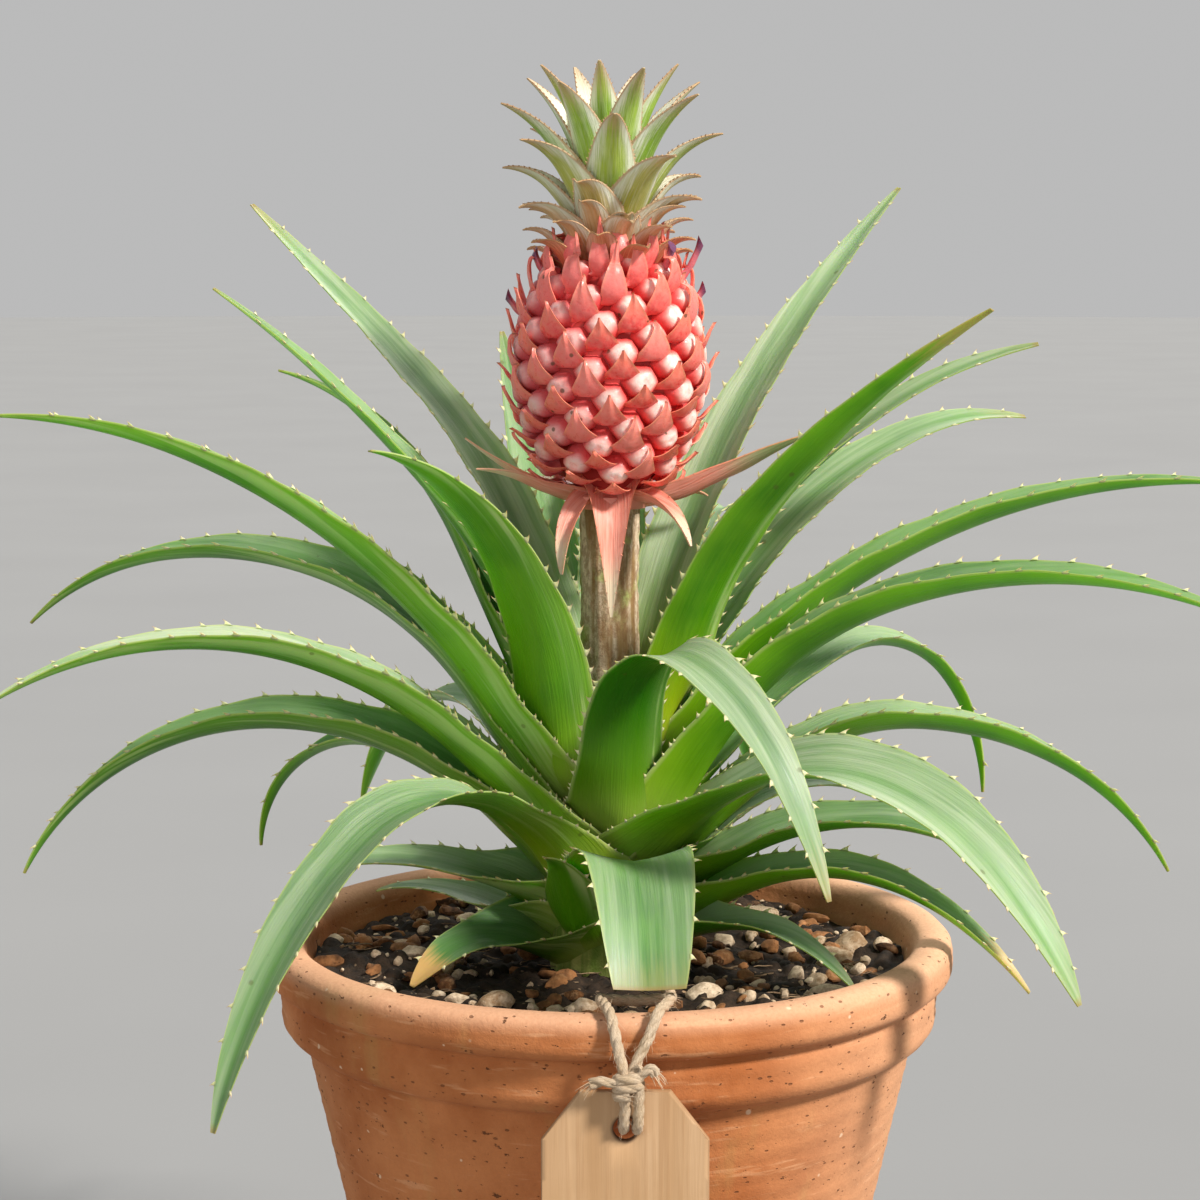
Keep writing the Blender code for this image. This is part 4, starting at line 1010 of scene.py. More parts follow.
def leaf_finish():
    """Outside bright green, paler towards its sides with a painted glow, and with a painted sheen on one
    half, inside darker green under silver streaks that are partly waxy scales and partly a painted sky
    reflection, both darker on some leaves, partly their own deep green and partly painted shade, a pale
    margin, a yellow foot where light never reached, and a dry tip. Spines are cream with a brown point. The
    streaks' relief fades towards the tip, where they crowd together."""
    made, wires, sockets = new_finish(
        "leaf", Specular_IOR_Level=0.28, Subsurface_Weight=0.3, Subsurface_Scale=0.004,
        Subsurface_Radius=(0.5, 1.0, 0.12),
    )
    v, share, face = wires.parts(wires.value("blade"))
    silver, dry, yellow = wires.parts(wires.value("look"))
    spine, is_spine, tone = wires.parts(wires.value("spine"))
    place = wires.place()
    edge = wires.reckon("ABSOLUTE", v)
    fine, broad = wires.use(streaks, 2, Grain=wires.value("grain"), Scale=1.6)
    patch = wires.spread(wires.noise(place, 26.0, 3.0, 0.5), 0.35, 0.65)
    outer = wires.mix(patch, (0.070, 0.270, 0.001), (0.175, 0.450, 0.003))
    outer = wires.mix(wires.times(fine, 0.2), outer, (0.27, 0.54, 0.02))
    # Painted glow: the outside grows lighter towards its sides, as if light shone through the thin blade.
    outer = wires.mix(wires.spread(edge, 0.45, 1.0, 0.0, 0.5), outer, (0.300, 0.560, 0.012))
    # Painted shade: the tone darkens the outside, partly the leaf's own deep green and partly shade on leaves
    # out of the sun.
    outer = wires.mix(tone, outer, (0.016, 0.130, 0.001))
    # Painted sheen: a pale band along one half of the outside stands for the sun's sheen on the wax.
    painted_sheen = wires.times(wires.spread(v, 0.25, 0.80), wires.spread(v, 1.0, 0.80))
    painted_sheen = wires.times(painted_sheen, wires.spread(broad, 0.3, 0.75, 0.12, 0.68))
    outer = wires.mix(painted_sheen, outer, (0.50, 0.64, 0.26))
    inner = wires.mix(patch, (0.028, 0.155, 0.008), (0.085, 0.290, 0.014))
    inner = wires.mix(wires.times(fine, 0.3), inner, (0.14, 0.36, 0.04))
    # The tone darkens the inside as well, partly own colour and partly painted shade.
    inner = wires.mix(wires.times(tone, 0.6), inner, (0.012, 0.100, 0.020))
    # The silver bloom is partly the leaf's own waxy scales and partly a painted reflection of the pale sky,
    # strongest on the channel's flanks.
    bands = wires.times(wires.spread(broad, 0.1, 0.9, 0.6, 1.0), wires.spread(fine, 0.0, 1.0, 0.90, 1.0))
    flank = wires.spread(edge, 0.05, 0.65, 0.55, 1.0)
    bloom = wires.times(silver, wires.times(bands, flank))
    inner = wires.mix(bloom, inner, (0.45, 0.53, 0.35))
    colour = wires.mix(face, outer, inner)
    foot = wires.times(wires.spread(share, 0.30, 0.0), yellow)
    colour = wires.mix(foot, colour, (0.46, 0.55, 0.010))
    pale_foot = wires.spread(share, 0.13, 0.0, 0.0, 0.6)
    colour = wires.mix(pale_foot, colour, (0.33, 0.42, 0.075))
    margin = wires.spread(edge, 0.93, 0.99, 0.0, 0.55)
    colour = wires.mix(margin, colour, (0.44, 0.52, 0.17))
    near_tip = wires.plus(share, wires.times(fine, 0.05))
    near_tip = wires.plus(near_tip, wires.times(wires.reckon("POWER", dry, 4.0), 0.18))
    tip = wires.times(wires.spread(near_tip, 0.90, 1.02), dry)
    colour = wires.mix(tip, colour, (0.55, 0.34, 0.12))
    colour = wires.mix(wires.spread(share, 0.982, 1.0, 0.0, 0.8), colour, (0.30, 0.20, 0.07))
    marks = wires.use(specks, Vector=place, Scale=210.0, Amount=0.035, Size=0.28)
    colour = wires.mix(wires.times(marks, 0.5), colour, (0.10, 0.09, 0.02))
    thorn = wires.mix(wires.spread(spine, 0.45, 1.0), (0.72, 0.72, 0.36), (0.58, 0.30, 0.15))
    colour = wires.mix(wires.times(is_spine, wires.spread(spine, 0.0, 0.3)), colour, thorn)
    wires.join(colour, sockets["Base Color"])
    rough = wires.plus(wires.times(wires.times(bloom, face), 0.12), 0.33)
    wires.join(wires.plus(rough, wires.times(fine, 0.08)), sockets["Roughness"])
    ridges = wires.times(fine, wires.spread(share, 0.95, 0.45, 0.15, 1.0))
    lines = wires.bump(ridges, 0.08 * MM)
    skin = wires.bump(wires.noise(place, 600.0, 2.0, 0.5), 0.01 * MM, lines)
    wires.join(skin, sockets["Normal"])
    return made


leaf_green = leaf_finish()
for number, (name, row) in enumerate(LEAVES.items()):
    shape = blade(
        row, LOOKS.get(name, PLAIN_LOOK), number, TONES_AND_SHADE.get(name, PLAIN_TONE),
        CUT_END if name == "leaf_front_cut" else TIP_WIDTH, taper=TAPERS.get(name, PLAIN_TAPER),
    )
    piece(name.replace("leaf", "blade"), shape, leaf_green, "leaf", name)
print("leaves:", len(LEAVES), "faces so far:", total_faces)

# %% [markdown]
# ## Stem and stalk
#
# The core is hidden by the leaves' feet, and only the stalk shows above them: a brown scurfy rod with pale
# stripes where old bracts ran down it. It is a turned profile whose radius waves a little round it.

# %% Stem
def stem_shape():
    """The core, from inside the soil up to the stalk's top. Cosines make its ribs, and noise the scurf."""
    profile = [
        (AXIS_GAP, RIM - 25.5 * MM),
        (CORE_FOOT_RADIUS - 1 * MM, RIM - 25.5 * MM),
        (CORE_FOOT_RADIUS, SOIL_LEVEL),
        (STALK_RADIUS + 1 * MM, CORE_TOP),
        (STALK_RADIUS, CORE_TOP + 12 * MM),
        (STALK_RADIUS - 0.6 * MM, CORE_TOP + 30 * MM),
        (STALK_RADIUS - 0.2 * MM, FRUIT_FOOT - 0.6 * MM),
        (AXIS_GAP, FRUIT_FOOT - 0.6 * MM),
    ]
    outline, _ = sampled(profile, 1.2 * MM)
    rings = turned(outline, 96)
    angle = np.linspace(0, math.tau, 96, endpoint=False)
    ribs = 0.25 * np.cos(7 * angle) + 0.12 * np.cos(19 * angle + rings[..., 2] * 60)
    scurf = 0.25 * ripple(rings, 700, 21) + 0.15 * ripple(rings, 1500, 22)
    out = (ribs + scurf) * MM / np.maximum(np.linalg.norm(rings[..., :2], axis=-1), 4 * MM)
    rings[..., :2] *= (1 + np.minimum(out, 0.05))[..., None]
    return tubes(rings)


def stalk_finish():
    """Brown and cream stripes under darker scurf, and green sheaths lower down."""
    made, wires, sockets = new_finish("stalk", Roughness=0.75, Specular_IOR_Level=0.3)
    place = wires.place()
    stripes = wires.noise(wires.stretched(place, (1.0, 1.0, 0.06)), 210.0, 3.0, 0.6)
    scurf = wires.spread(wires.noise(wires.stretched(place, (1.0, 1.0, 0.5)), 620.0, 4.0, 0.7), 0.42, 0.60)
    colour = wires.mix(wires.spread(stripes, 0.36, 0.58), (0.36, 0.22, 0.09), (0.78, 0.62, 0.44))
    colour = wires.mix(wires.spread(wires.noise(place, 90.0), 0.5, 0.65), colour, (0.48, 0.50, 0.17))
    colour = wires.mix(wires.times(scurf, 0.6), colour, (0.28, 0.14, 0.06))
    _, _, height = wires.parts(place)
    sheath = wires.mix(wires.spread(stripes, 0.35, 0.65), (0.12, 0.20, 0.02), (0.36, 0.38, 0.10))
    colour = wires.mix(wires.spread(height, CORE_TOP + 14 * MM, CORE_TOP - 6 * MM), colour, sheath)
    wires.join(colour, sockets["Base Color"])
    wires.join(wires.use(relief, Vector=place, Scale=1300.0, Distance=0.4 * MM), sockets["Normal"])
    return made


piece("stalk_and_core", stem_shape(), stalk_finish(), "stem", "stem")

# %% [markdown]
# ## The fruit
#
# A pineapple is many fruitlets grown together. They sit on an ovoid at the golden angle from each other, so
# every one has an equal share of the skin. Each has a round shiny cheek, and from the groove below it a bract
# rises over the cheek and ends in a point that stands off. Under them lies a dark red ovoid that fills the
# grooves. All cheeks are one array, and all bracts another.

# %% Fruitlets
FRUIT_RADIUS = 27 * MM
FRUIT_HEIGHT = 79 * MM
FRUIT_FULLNESS = 0.62  # below 1, the ovoid's sides stay full towards its ends
FRUITLETS = 100
CHEEK_HEIGHT = 4.7 * MM  # how far a cheek stands out
CHEEK_RISE = 1.9 * MM  # how far its middle lies above the fruitlet's
TOP_BRACTS = 14  # more bracts than fruitlets, so that the top is full
CHEEK_KIND, BRACT_KIND, FLOWER_KIND = 0.0, 1.0, 2.0  # the finish tells the three apart by this value
FLOWERS = [  # heading in degrees, share of the fruit's height, and length in mm
    (182, 0.72, 10), (-4, 0.80, 15), (4, 0.70, 9), (205, 0.88, 8), (-35, 0.88, 9), (60, 0.8, 9),
    (118, 0.74, 9),
]
numbers = np.arange(FRUITLETS)


def fruit_places(number):
    """Centre, outward, sideways and upward directions of fruitlets, and their share of the height. The radius
    is the fruit's times a power of the sine of the tilt, which goes from the foot to the top."""
    share = np.clip((number + 9) / (FRUITLETS + 18), 0.01, 0.99)
    tilt = np.radians(164 - 146 * share)
    angle = number * GOLDEN
    radius = FRUIT_RADIUS * np.sin(tilt) ** FRUIT_FULLNESS
    centre = vectors(radius * np.cos(angle), radius * np.sin(angle), FRUIT_FOOT + FRUIT_HEIGHT * share)
    lean = np.sin(tilt) ** 0.4
    outward = unit(vectors(np.cos(angle) * lean, np.sin(angle) * lean, np.cos(tilt) * 0.55))
    aside = vectors(-np.sin(angle), np.cos(angle), 0.0)
    return centre, outward, aside, np.cross(outward, aside), share


def on_fruitlets(places, wide, tall, high):
    """Points that lie this far sideways, upwards and outwards from the middle of each fruitlet."""
    centre, outward, aside, upward, _ = (values[:, None, None] for values in places)
    return centre + aside * wide[..., None] + upward * tall[..., None] + outward * high[..., None]


def fruit_core_shape():
    """The ovoid under the fruitlets: the same rule as theirs, a little fuller at its ends."""
    share = np.linspace(0.0, 1.0, 60)
    tilt = np.radians(170 - 160 * share)
    radius = (FRUIT_RADIUS + 0.6 * MM) * np.sin(tilt) ** FRUIT_FULLNESS
    profile = np.stack([radius, FRUIT_FOOT + FRUIT_HEIGHT * share], axis=-1)
    profile = np.vstack([[AXIS_GAP, FRUIT_FOOT], profile, [AXIS_GAP, FRUIT_FOOT + FRUIT_HEIGHT]])
    return tubes(turned(profile, 72))


def cheek_sizes(share):
    """Radius of each cheek, and how much the ones near the top shrink."""
    return (5.0 + 0.4 * np.sin(math.pi * share)) * MM, 1 - 0.3 * smooth_step((share - 0.70) / 0.28)


def dome(r):
    """A round top: the root of 1 less r to the power 2.4, and 0 outside r = 1."""
    return np.sqrt(np.clip(1 - r**2.4, 0, 1))


def cheeks_shape(rows=10, sides=20):
    """A domed cheek on each fruitlet, with a small dimple where the flower stood."""
    places = fruit_places(numbers)
    share = places[-1]
    random = np.random.default_rng(31)
    r = np.concatenate([[1.06], np.linspace(1.0, 0.04, rows - 1) ** 0.8])
    angle = np.linspace(0, math.tau, sides, endpoint=False)
    radius, shrink = cheek_sizes(share)
    size = radius * shrink * random.uniform(0.95, 1.03, FRUITLETS)
    outline = 1 + 0.05 * np.cos(6 * angle)
    wide = size[:, None, None] * r[:, None] * outline * np.cos(angle) * 1.06
    tall = size[:, None, None] * r[:, None] * outline * np.sin(angle) * 0.95
    dimple = 0.4 * MM * np.exp(-((r / 0.22) ** 2))
    swell = (CHEEK_HEIGHT * shrink)[:, None, None] * dome(r)[:, None]
    height = swell + 0.6 * MM - dimple[:, None] + 0 * angle
    height[:, 0] -= 2 * MM
    lumps = 0.3 * MM * np.sin(2 * angle + numbers[:, None, None]) * r[:, None] ** 2
    rings = on_fruitlets(places, wide, tall + CHEEK_RISE, height + lumps)
    chance = random.uniform(size=FRUITLETS)[:, None, None]
    return tubes(
        rings, fruitlet=vectors(r[:, None], chance, 0.0), kind=vectors(share[:, None, None], CHEEK_KIND, 0.0)
    )


def bracts_shape(rows=17, columns=11):
    """A bract on each fruitlet. s runs from its foot to its point and t across it. Its foot is as wide as the
    fruitlet, and it narrows as (1 - s)^1.3 to a point. It lies on a dome that is wider and lower than the
    cheek, so the cheek swells out above it. It is keeled along its middle, and its point stands off as s^3.
    Near the fruit's top it is longer, narrower and splayed."""
    count = FRUITLETS + TOP_BRACTS
    places = fruit_places(np.arange(count))
    share = places[-1]
    random = np.random.default_rng(37)
    s = np.linspace(0, 1, rows)[None, :, None]
    t = np.linspace(1, -1, columns)
    t = np.concatenate([t, t[::-1]])[None, None, :]
    inner = np.concatenate([np.ones(columns), np.zeros(columns)])[None, None, :]
    top = share[:, None, None]
    radius, shrink = (values[:, None, None] for values in cheek_sizes(share))
    chance = random.uniform(0.72, 1.2, count)[:, None, None]
    skew = random.uniform(-1, 1, count)[:, None, None]
    reach = 11.0 * (1 + 0.6 * smooth_step((top - 0.62) / 0.35)) * chance
    narrow = 1 - 0.45 * smooth_step((top - 0.65) / 0.35)
    half = (0.35 + 7.2 * (1 - s) ** 1.3 * narrow * (0.78 + 0.22 * smooth_step(s / 0.25))) * MM
    wide = half * t + skew * 1.9 * MM * s**2
    tall = (-6.2 + reach * s) * MM
    r = np.hypot(wide / (radius * 1.42), (tall + 0.4 * MM) / (radius * 1.30)) / (0.25 + 0.75 * shrink)
    cup = (CHEEK_HEIGHT + 0.3 * MM) * (0.3 + 0.7 * shrink) * dome(r)
    keel = 1.1 * MM * (1 - np.abs(t)) * np.sin(s * math.pi / 2)
    splay = smooth_step((top - 0.60) / 0.30)
    point = (2.8 + 5.0 * splay + 0.9 * skew) * MM * s ** (3 - 1.2 * splay)
    curl = 0.9 * MM * np.abs(t) ** 3 * np.sin(s * math.pi)
    thick = (0.5 + 1.5 * (1 - np.abs(t))) * MM * (1 - 0.55 * s) * (1 - inner)
    rings = on_fruitlets(places, wide, tall, 0.9 * MM + cup + keel + point + curl - thick)
    return tubes(rings, fruitlet=vectors(s, chance, t), kind=vectors(top, BRACT_KIND, 0.0))


def flowers_shape():
    """A few withered flowers that still stand in the upper grooves, each a bent fluted tube with a dark
    mouth, on the fruitlet that is nearest to its place in the list."""
    centre, outward, aside, upward, share = fruit_places(numbers)
    heading = np.degrees(np.arctan2(centre[:, 1], centre[:, 0]))
    picks = []
    for angle, level, _ in FLOWERS:
        turn = np.abs((heading - angle + 180) % 360 - 180) / 25
        picks.append(int(np.argmin(turn + np.abs(share - level) * 12)))
    centre, outward, aside, upward = (values[picks] for values in (centre, outward, aside, upward))
    s = np.linspace(0, 1, 14)[None, :, None]
    length = np.array([size for _, _, size in FLOWERS])[:, None, None] * MM
    line = centre[:, None] + outward[:, None] * (2 * MM + length * s * 0.85)
    line = line + upward[:, None] * (2 * MM + length * (0.25 * s + 0.35 * s**2))
    ring = np.linspace(0, math.tau, 12, endpoint=False)
    thick = (1.8 - 0.5 * np.sin(s * math.pi) + 0.12 * np.sin(s * 14)) * MM
    fluted = thick * (1 + 0.12 * np.cos(3 * ring))
    rings = round_line(line, aside[:, None], upward[:, None], fluted, len(ring))
    return tubes(rings, fruitlet=vectors(s, 0.5, 0.0), kind=[0.8, FLOWER_KIND, 0.0])


def fruit_finish():
    """Coral and rose: cheeks carry a painted highlight in the middle and deepen to red towards the grooves,
    partly their own red and partly painted shade, bracts are orange coral with yellow edges and brown points,
    and the left side, away from the sun, is painted darker violet as shade."""
    made, wires, sockets = new_finish(
        "fruit", Roughness=0.3, Specular_IOR_Level=0.5, Subsurface_Weight=0.12, Subsurface_Scale=0.004
    )
    place = wires.place()
    along, chance, across = wires.parts(wires.value("fruitlet"))
    height, kind, _ = wires.parts(wires.value("kind"))
    x, _, _ = wires.parts(place)
    # Painted shade: the fruit turns darker violet towards its left, the side away from the sun.
    painted_shade_side = wires.spread(x, 10 * MM, -28 * MM, 0.0, 0.55)
    vein = wires.noise(place, 520.0, 4.0, 0.6)
    # Painted light: each cheek is pale in its middle and deepens to red towards the grooves, partly its own
    # red and partly painted shade; then its middle is whitened as a painted highlight.
    cheek = wires.mix(wires.spread(along, 0.45, 0.97), (0.98, 0.52, 0.44), (0.78, 0.080, 0.075))
    painted_cheek_highlight = wires.spread(along, 0.80, 0.20, 0.0, 0.98)
    cheek = wires.mix(wires.times(painted_cheek_highlight, wires.spread(vein, 0.2, 0.7)), cheek, (1.0, 0.88, 0.82))
    cheek = wires.mix(painted_shade_side, cheek, (0.62, 0.160, 0.180))
    bract = wires.mix(wires.spread(along, 0.0, 0.75), (0.84, 0.060, 0.060), (1.0, 0.230, 0.150))
    bract = wires.mix(wires.spread(vein, 0.35, 0.7, 0.0, 0.35), bract, (1.0, 0.38, 0.30))
    bract = wires.mix(wires.spread(chance, 0.8, 1.2, 0.0, 0.45), bract, (1.0, 0.32, 0.28))
    edge = wires.spread(wires.reckon("ABSOLUTE", across), 0.70, 1.0, 0.0, 0.4)
    bract = wires.mix(edge, bract, (0.98, 0.46, 0.25))
    bract = wires.mix(wires.times(painted_shade_side, 0.5), bract, (0.74, 0.090, 0.110))
    bract = wires.mix(wires.spread(height, 0.70, 0.95, 0.0, 0.4), bract, (0.96, 0.24, 0.22))
    bract = wires.mix(wires.spread(along, 0.93, 1.0, 0.0, 0.85), bract, (0.30, 0.11, 0.05))
    flower = wires.mix(wires.spread(along, 0.60, 0.98), (0.66, 0.17, 0.20), (0.16, 0.05, 0.12))
    colour = wires.mix(wires.spread(kind, 0.2, 0.8), cheek, bract)
    colour = wires.mix(wires.spread(kind, 1.2, 1.8), colour, flower)
    blotch = wires.spread(wires.noise(place, 130.0, 4.0, 0.6), 0.60, 0.72, 0.0, 0.35)
    colour = wires.mix(blotch, colour, (0.46, 0.060, 0.035))
    marks = wires.use(specks, Vector=place, Scale=330.0, Amount=0.06, Size=0.34)
    colour = wires.mix(wires.times(marks, 0.8), colour, (0.10, 0.06, 0.02))
    wires.join(colour, sockets["Base Color"])
    wires.join(wires.spread(vein, 0.3, 0.7, 0.24, 0.42), sockets["Roughness"])
    wires.join(wires.bump(vein, 0.25 * MM), sockets["Normal"])
    return made


def groove_finish():
    """The dark red between the fruitlets, partly their own red and partly painted shade in the grooves."""
    made, wires, sockets = new_finish("fruit_groove", Roughness=0.55)
    # Painted shade: the grooves are kept dark red as shade lies between the fruitlets.
    tone = wires.noise(wires.place(), 300.0)
    wires.join(wires.mix(tone, (0.34, 0.018, 0.018), (0.56, 0.050, 0.040)), sockets["Base Color"])
    return made


fruit_red = fruit_finish()
piece("fruit_heart", fruit_core_shape(), groove_finish(), "fruit", "fruit")
piece("fruitlets", together(cheeks_shape(), bracts_shape(), flowers_shape()), fruit_red, "fruit")
print("fruitlets:", FRUITLETS)

# %% [markdown]
# ## Crown and bracts
#
# The crown's leaves are short broad blades of the same kind as the large ones, set at the golden angle. The
# lower they sit, the flatter and browner they are. Small scales close the neck over the fruit. Long pink
# bracts leave the stalk's top: one hangs at the front, and others reach out to the sides.

# %% Crown
CROWN_LEAVES = 27
NECK_SCALES = 21
CROWN_RISE = math.radians(85)


def crown_shape():
    """Leaves at the golden angle. The low ones are short, rise and then bend out flat, and the high ones
    stand upright round the middle. Scales close the neck under them."""
    shapes = []
    for number in range(CROWN_LEAVES):
        share = number / (CROWN_LEAVES - 1)
        length = 21 + 27 * math.sin(0.70 * math.pi * share)
        width = 15 + 5 * math.sin(math.pi * (0.1 + 0.8 * share))
        base = 30 + 40 * share
        rises = (base + 28 * (1 - share), base + 8 * (1 - share), base - 38 * (1 - share) - 12)
        height = (CROWN_FOOT - RIM) / MM - 1 + 21 * share
        row = (math.degrees(number * GOLDEN) - 75, height, length, width, rises, 0, 0.62, (0, 0))
        shapes.append(blade(
            row, (share, 0.3, 0.2), 60 + number, end_width=0.8 * MM, start_radius=(11.5 - 9 * share) * MM,
            base_width=width * 0.95 * MM, spread=8 * MM, base_rise=CROWN_RISE, rib=1.6 * MM, root=6 * MM,
            step=1.1 * MM, columns=11, spine=1.0 * MM, spacing=(1.6 * MM, 1.8 * MM), wave=0.25 * MM,
            margin=0.4 * MM, taper=1.5,
        ))
    for number in range(NECK_SCALES):
        share = number / (NECK_SCALES - 1)
        height = (CROWN_FOOT - RIM) / MM - 9 + 12 * share
        rises = (64 - 4 * share, 40 + 6 * share, -16 + 12 * share)
        row = (math.degrees(number * GOLDEN) + 20, height, 16 + 5 * share, 12, rises, 0, 0.5, (0, 0))
        shapes.append(blade(
            row, (0.06 * share, 0.95 - 0.6 * share, 0.2), 100 + number, end_width=0.6 * MM,
            start_radius=(17 - 6 * share) * MM, base_width=12 * MM, spread=4 * MM, base_rise=CROWN_RISE,
            rib=1.0 * MM, root=4 * MM, step=0.9 * MM, columns=9, spine=0.5 * MM, spacing=(1.5 * MM, 1.5 * MM),
            wave=0.1 * MM, margin=0.35 * MM, taper=1.8,
        ))
    gap = AXIS_GAP / MM
    cone = np.array([(gap, 0), (13, 0), (10.5, 8), (5, 24), (gap, 26)]) * MM + [0, CROWN_FOOT]
    outline, _ = sampled(cone, 1 * MM)
    return together(tubes(turned(outline, 36)), *shapes)


def crown_finish():
    """Green up the middle of each leaf, silver towards its sides and inside, partly scurf and partly painted
    sheen, tan margins, and browner low down.
    """
    made, wires, sockets = new_finish("crown", Roughness=0.45, Specular_IOR_Level=0.45)
    v, share, face = wires.parts(wires.value("blade"))
    level, dry, _ = wires.parts(wires.value("look"))
    spine, is_spine, _ = wires.parts(wires.value("spine"))
    place = wires.place()
    fine, broad = wires.use(streaks, 2, Grain=wires.value("grain"), Scale=2.6)
    patch = wires.spread(wires.noise(place, 60.0), 0.35, 0.65)
    green = wires.mix(patch, (0.23, 0.42, 0.012), (0.40, 0.60, 0.045))
    silver = wires.mix(fine, (0.70, 0.74, 0.54), (0.94, 0.95, 0.82))
    edge = wires.reckon("ABSOLUTE", v)
    olive = wires.mix(patch, (0.40, 0.40, 0.05), (0.55, 0.52, 0.11))
    tan = wires.mix(broad, (0.58, 0.32, 0.11), (0.78, 0.50, 0.24))
    outer = wires.mix(wires.spread(level, 0.62, 0.25), green, olive)
    outer = wires.mix(wires.spread(level, 0.30, 0.06), outer, tan)
    # The silver on the sides and inside is partly the leaves' own scurf and partly painted sheen where the
    # sun catches them.
    sides = wires.spread(wires.plus(edge, wires.times(fine, 0.15)), 0.40, 0.98, 0.0, 0.88)
    outer = wires.mix(sides, outer, silver)
    outer = wires.mix(wires.times(fine, 0.18), outer, silver)
    inside = wires.mix(wires.spread(level, 0.45, 0.05, 0.0, 0.65), silver, (0.55, 0.40, 0.27))
    colour = wires.mix(face, outer, inside)
    old = wires.mix(fine, (0.62, 0.17, 0.08), (0.82, 0.33, 0.17))
    colour = wires.mix(wires.spread(dry, 0.5, 0.9), colour, old)
    tip = wires.spread(wires.plus(share, wires.times(fine, 0.08)), 0.68, 1.06, 0.0, 0.8)
    colour = wires.mix(tip, colour, (0.56, 0.36, 0.18))
    colour = wires.mix(wires.spread(edge, 0.90, 0.985, 0.0, 0.7), colour, (0.52, 0.27, 0.10))
    thorn = wires.mix(spine, (0.60, 0.40, 0.22), (0.36, 0.15, 0.07))
    colour = wires.mix(is_spine, colour, thorn)
    wires.join(colour, sockets["Base Color"])
    skin = wires.bump(wires.noise(place, 900.0), 0.08 * MM, wires.bump(fine, 0.12 * MM))
    wires.join(skin, sockets["Normal"])
    return made


piece("crown_leaves", crown_shape(), crown_finish(), "crown", "crown")

# %% Bracts
# Rows as for the leaves. The first one hangs in front, and the fourth one is the long green-tipped one.
FRUIT_BRACTS = [
    (-88, 145, 40, 19, (-35, -80, -91, -92), 0, 0.3, (0, 0)),
    (-126, 145, 30, 9, (-15, -60, -92), 0, 0.45, (0, 0)),
    (-42, 145, 30, 9, (8, -30, -66), 0, 0.45, (0, 0)),
    (-8, 143, 58, 12, (4, 28, 28, 24), 0, 0.3, (-30, -40)),
    (176, 144, 42, 9, (14, 32, 38), 0, 0.45, (10, 10)),
    (-162, 145, 36, 9, (10, 26, 6), 0, 0.45, (10, 10)),
    (35, 144, 30, 11, (5, 5, -20), 0, 0.3, (0, 0)),
    (80, 144, 22, 14, (-10, -30, -60), 0, 0.3, (0, 0)),
    (128, 144, 30, 11, (5, 15, 5), 0, 0.3, (0, 0)),
]
HANGING_BRACT, GREEN_BRACT = 0, 3
BRACT_TOP = FRUIT_FOOT - 0.3 * MM


def fruit_bracts_shape():
    """Blades round the stalk's top, and the ring that they grow from: an outline turned about the axis."""
    shapes = []
    for number, row in enumerate(FRUIT_BRACTS):
        green = 1.0 if number == GREEN_BRACT else 0.0
        shapes.append(blade(
            row, (green, 0.1, 0.0), 130 + number, end_width=0.8 * MM, start_radius=STALK_RADIUS + 1.1 * MM,
            base_width=row[3] * MM, rib=1.2 * MM, root=5 * MM, step=0.9 * MM, columns=13, spine=0.7 * MM,
            spacing=(5 * MM, 4 * MM), wave=0.4 * MM, margin=0.45 * MM,
            taper=0.5 if number == HANGING_BRACT else 1.7,
        ))
    outline = np.array([(0, -5), (2, -5), (2.4, -3), (2, -1), (0.5, -0.3), (0, -0.5)]) * MM
    outline = outline + [STALK_RADIUS + 0.3 * MM, BRACT_TOP]
    return together(wrapped(turned(outline, 64)), *shapes)


def bract_finish():
    """Coral with pale ends and a darker margin. One bract's end turns green."""
    made, wires, sockets = new_finish("bract", Roughness=0.42, Subsurface_Weight=0.1, Subsurface_Scale=0.004)
    v, share, _ = wires.parts(wires.value("blade"))
    green, _, _ = wires.parts(wires.value("look"))
    fine = wires.use(streaks, Grain=wires.value("grain"), Scale=1.8)
    colour = wires.mix(fine, (0.84, 0.27, 0.19), (0.93, 0.41, 0.31))
    pale = wires.spread(share, 0.42, 0.80, 0.0, 0.85)
    colour = wires.mix(pale, colour, (0.82, 0.70, 0.48))
    turning = wires.times(wires.spread(share, 0.45, 0.85), green)
    colour = wires.mix(turning, colour, (0.30, 0.40, 0.16))
    edge = wires.spread(wires.reckon("ABSOLUTE", v), 0.86, 1.0, 0.0, 0.6)
    colour = wires.mix(edge, colour, (0.66, 0.20, 0.10))
    wires.join(colour, sockets["Base Color"])
    wires.join(wires.bump(fine, 0.12 * MM), sockets["Normal"])
    return made


piece("pink_bracts", fruit_bracts_shape(), bract_finish(), "bract", "fruit_bracts")
print("bracts:", len(FRUIT_BRACTS), "faces so far:", total_faces)

# %% [markdown]
# ## Tag and twine
#
# The tag is a thin birch board with clipped corners. Seen from its hole, its edge is met once in every
# direction, so its outline is a distance for each angle, and the board is a closed loop of such outlines:
# the hole's wall, the front, the rounded edge and the back. Its twine is three plies wound round one route,
# and each ply is a tube. The route follows the solid's: over the lip, through the knot and the tag's hole.

# %% Tag
TAG_WIDTH, TAG_LENGTH, TAG_TOP_WIDTH, TAG_CLIP = 50 * MM, 80 * MM, 27 * MM, 15 * MM
TAG_THICKNESS, TAG_ROUNDING = 2.5 * MM, 0.35 * MM
TAG_HOLE_RADIUS, TAG_HOLE_DROP = 3.6 * MM, 11.6 * MM
TAG_PLACE = np.array([4.5 * MM, -117 * MM, RIM - 20.5 * MM])


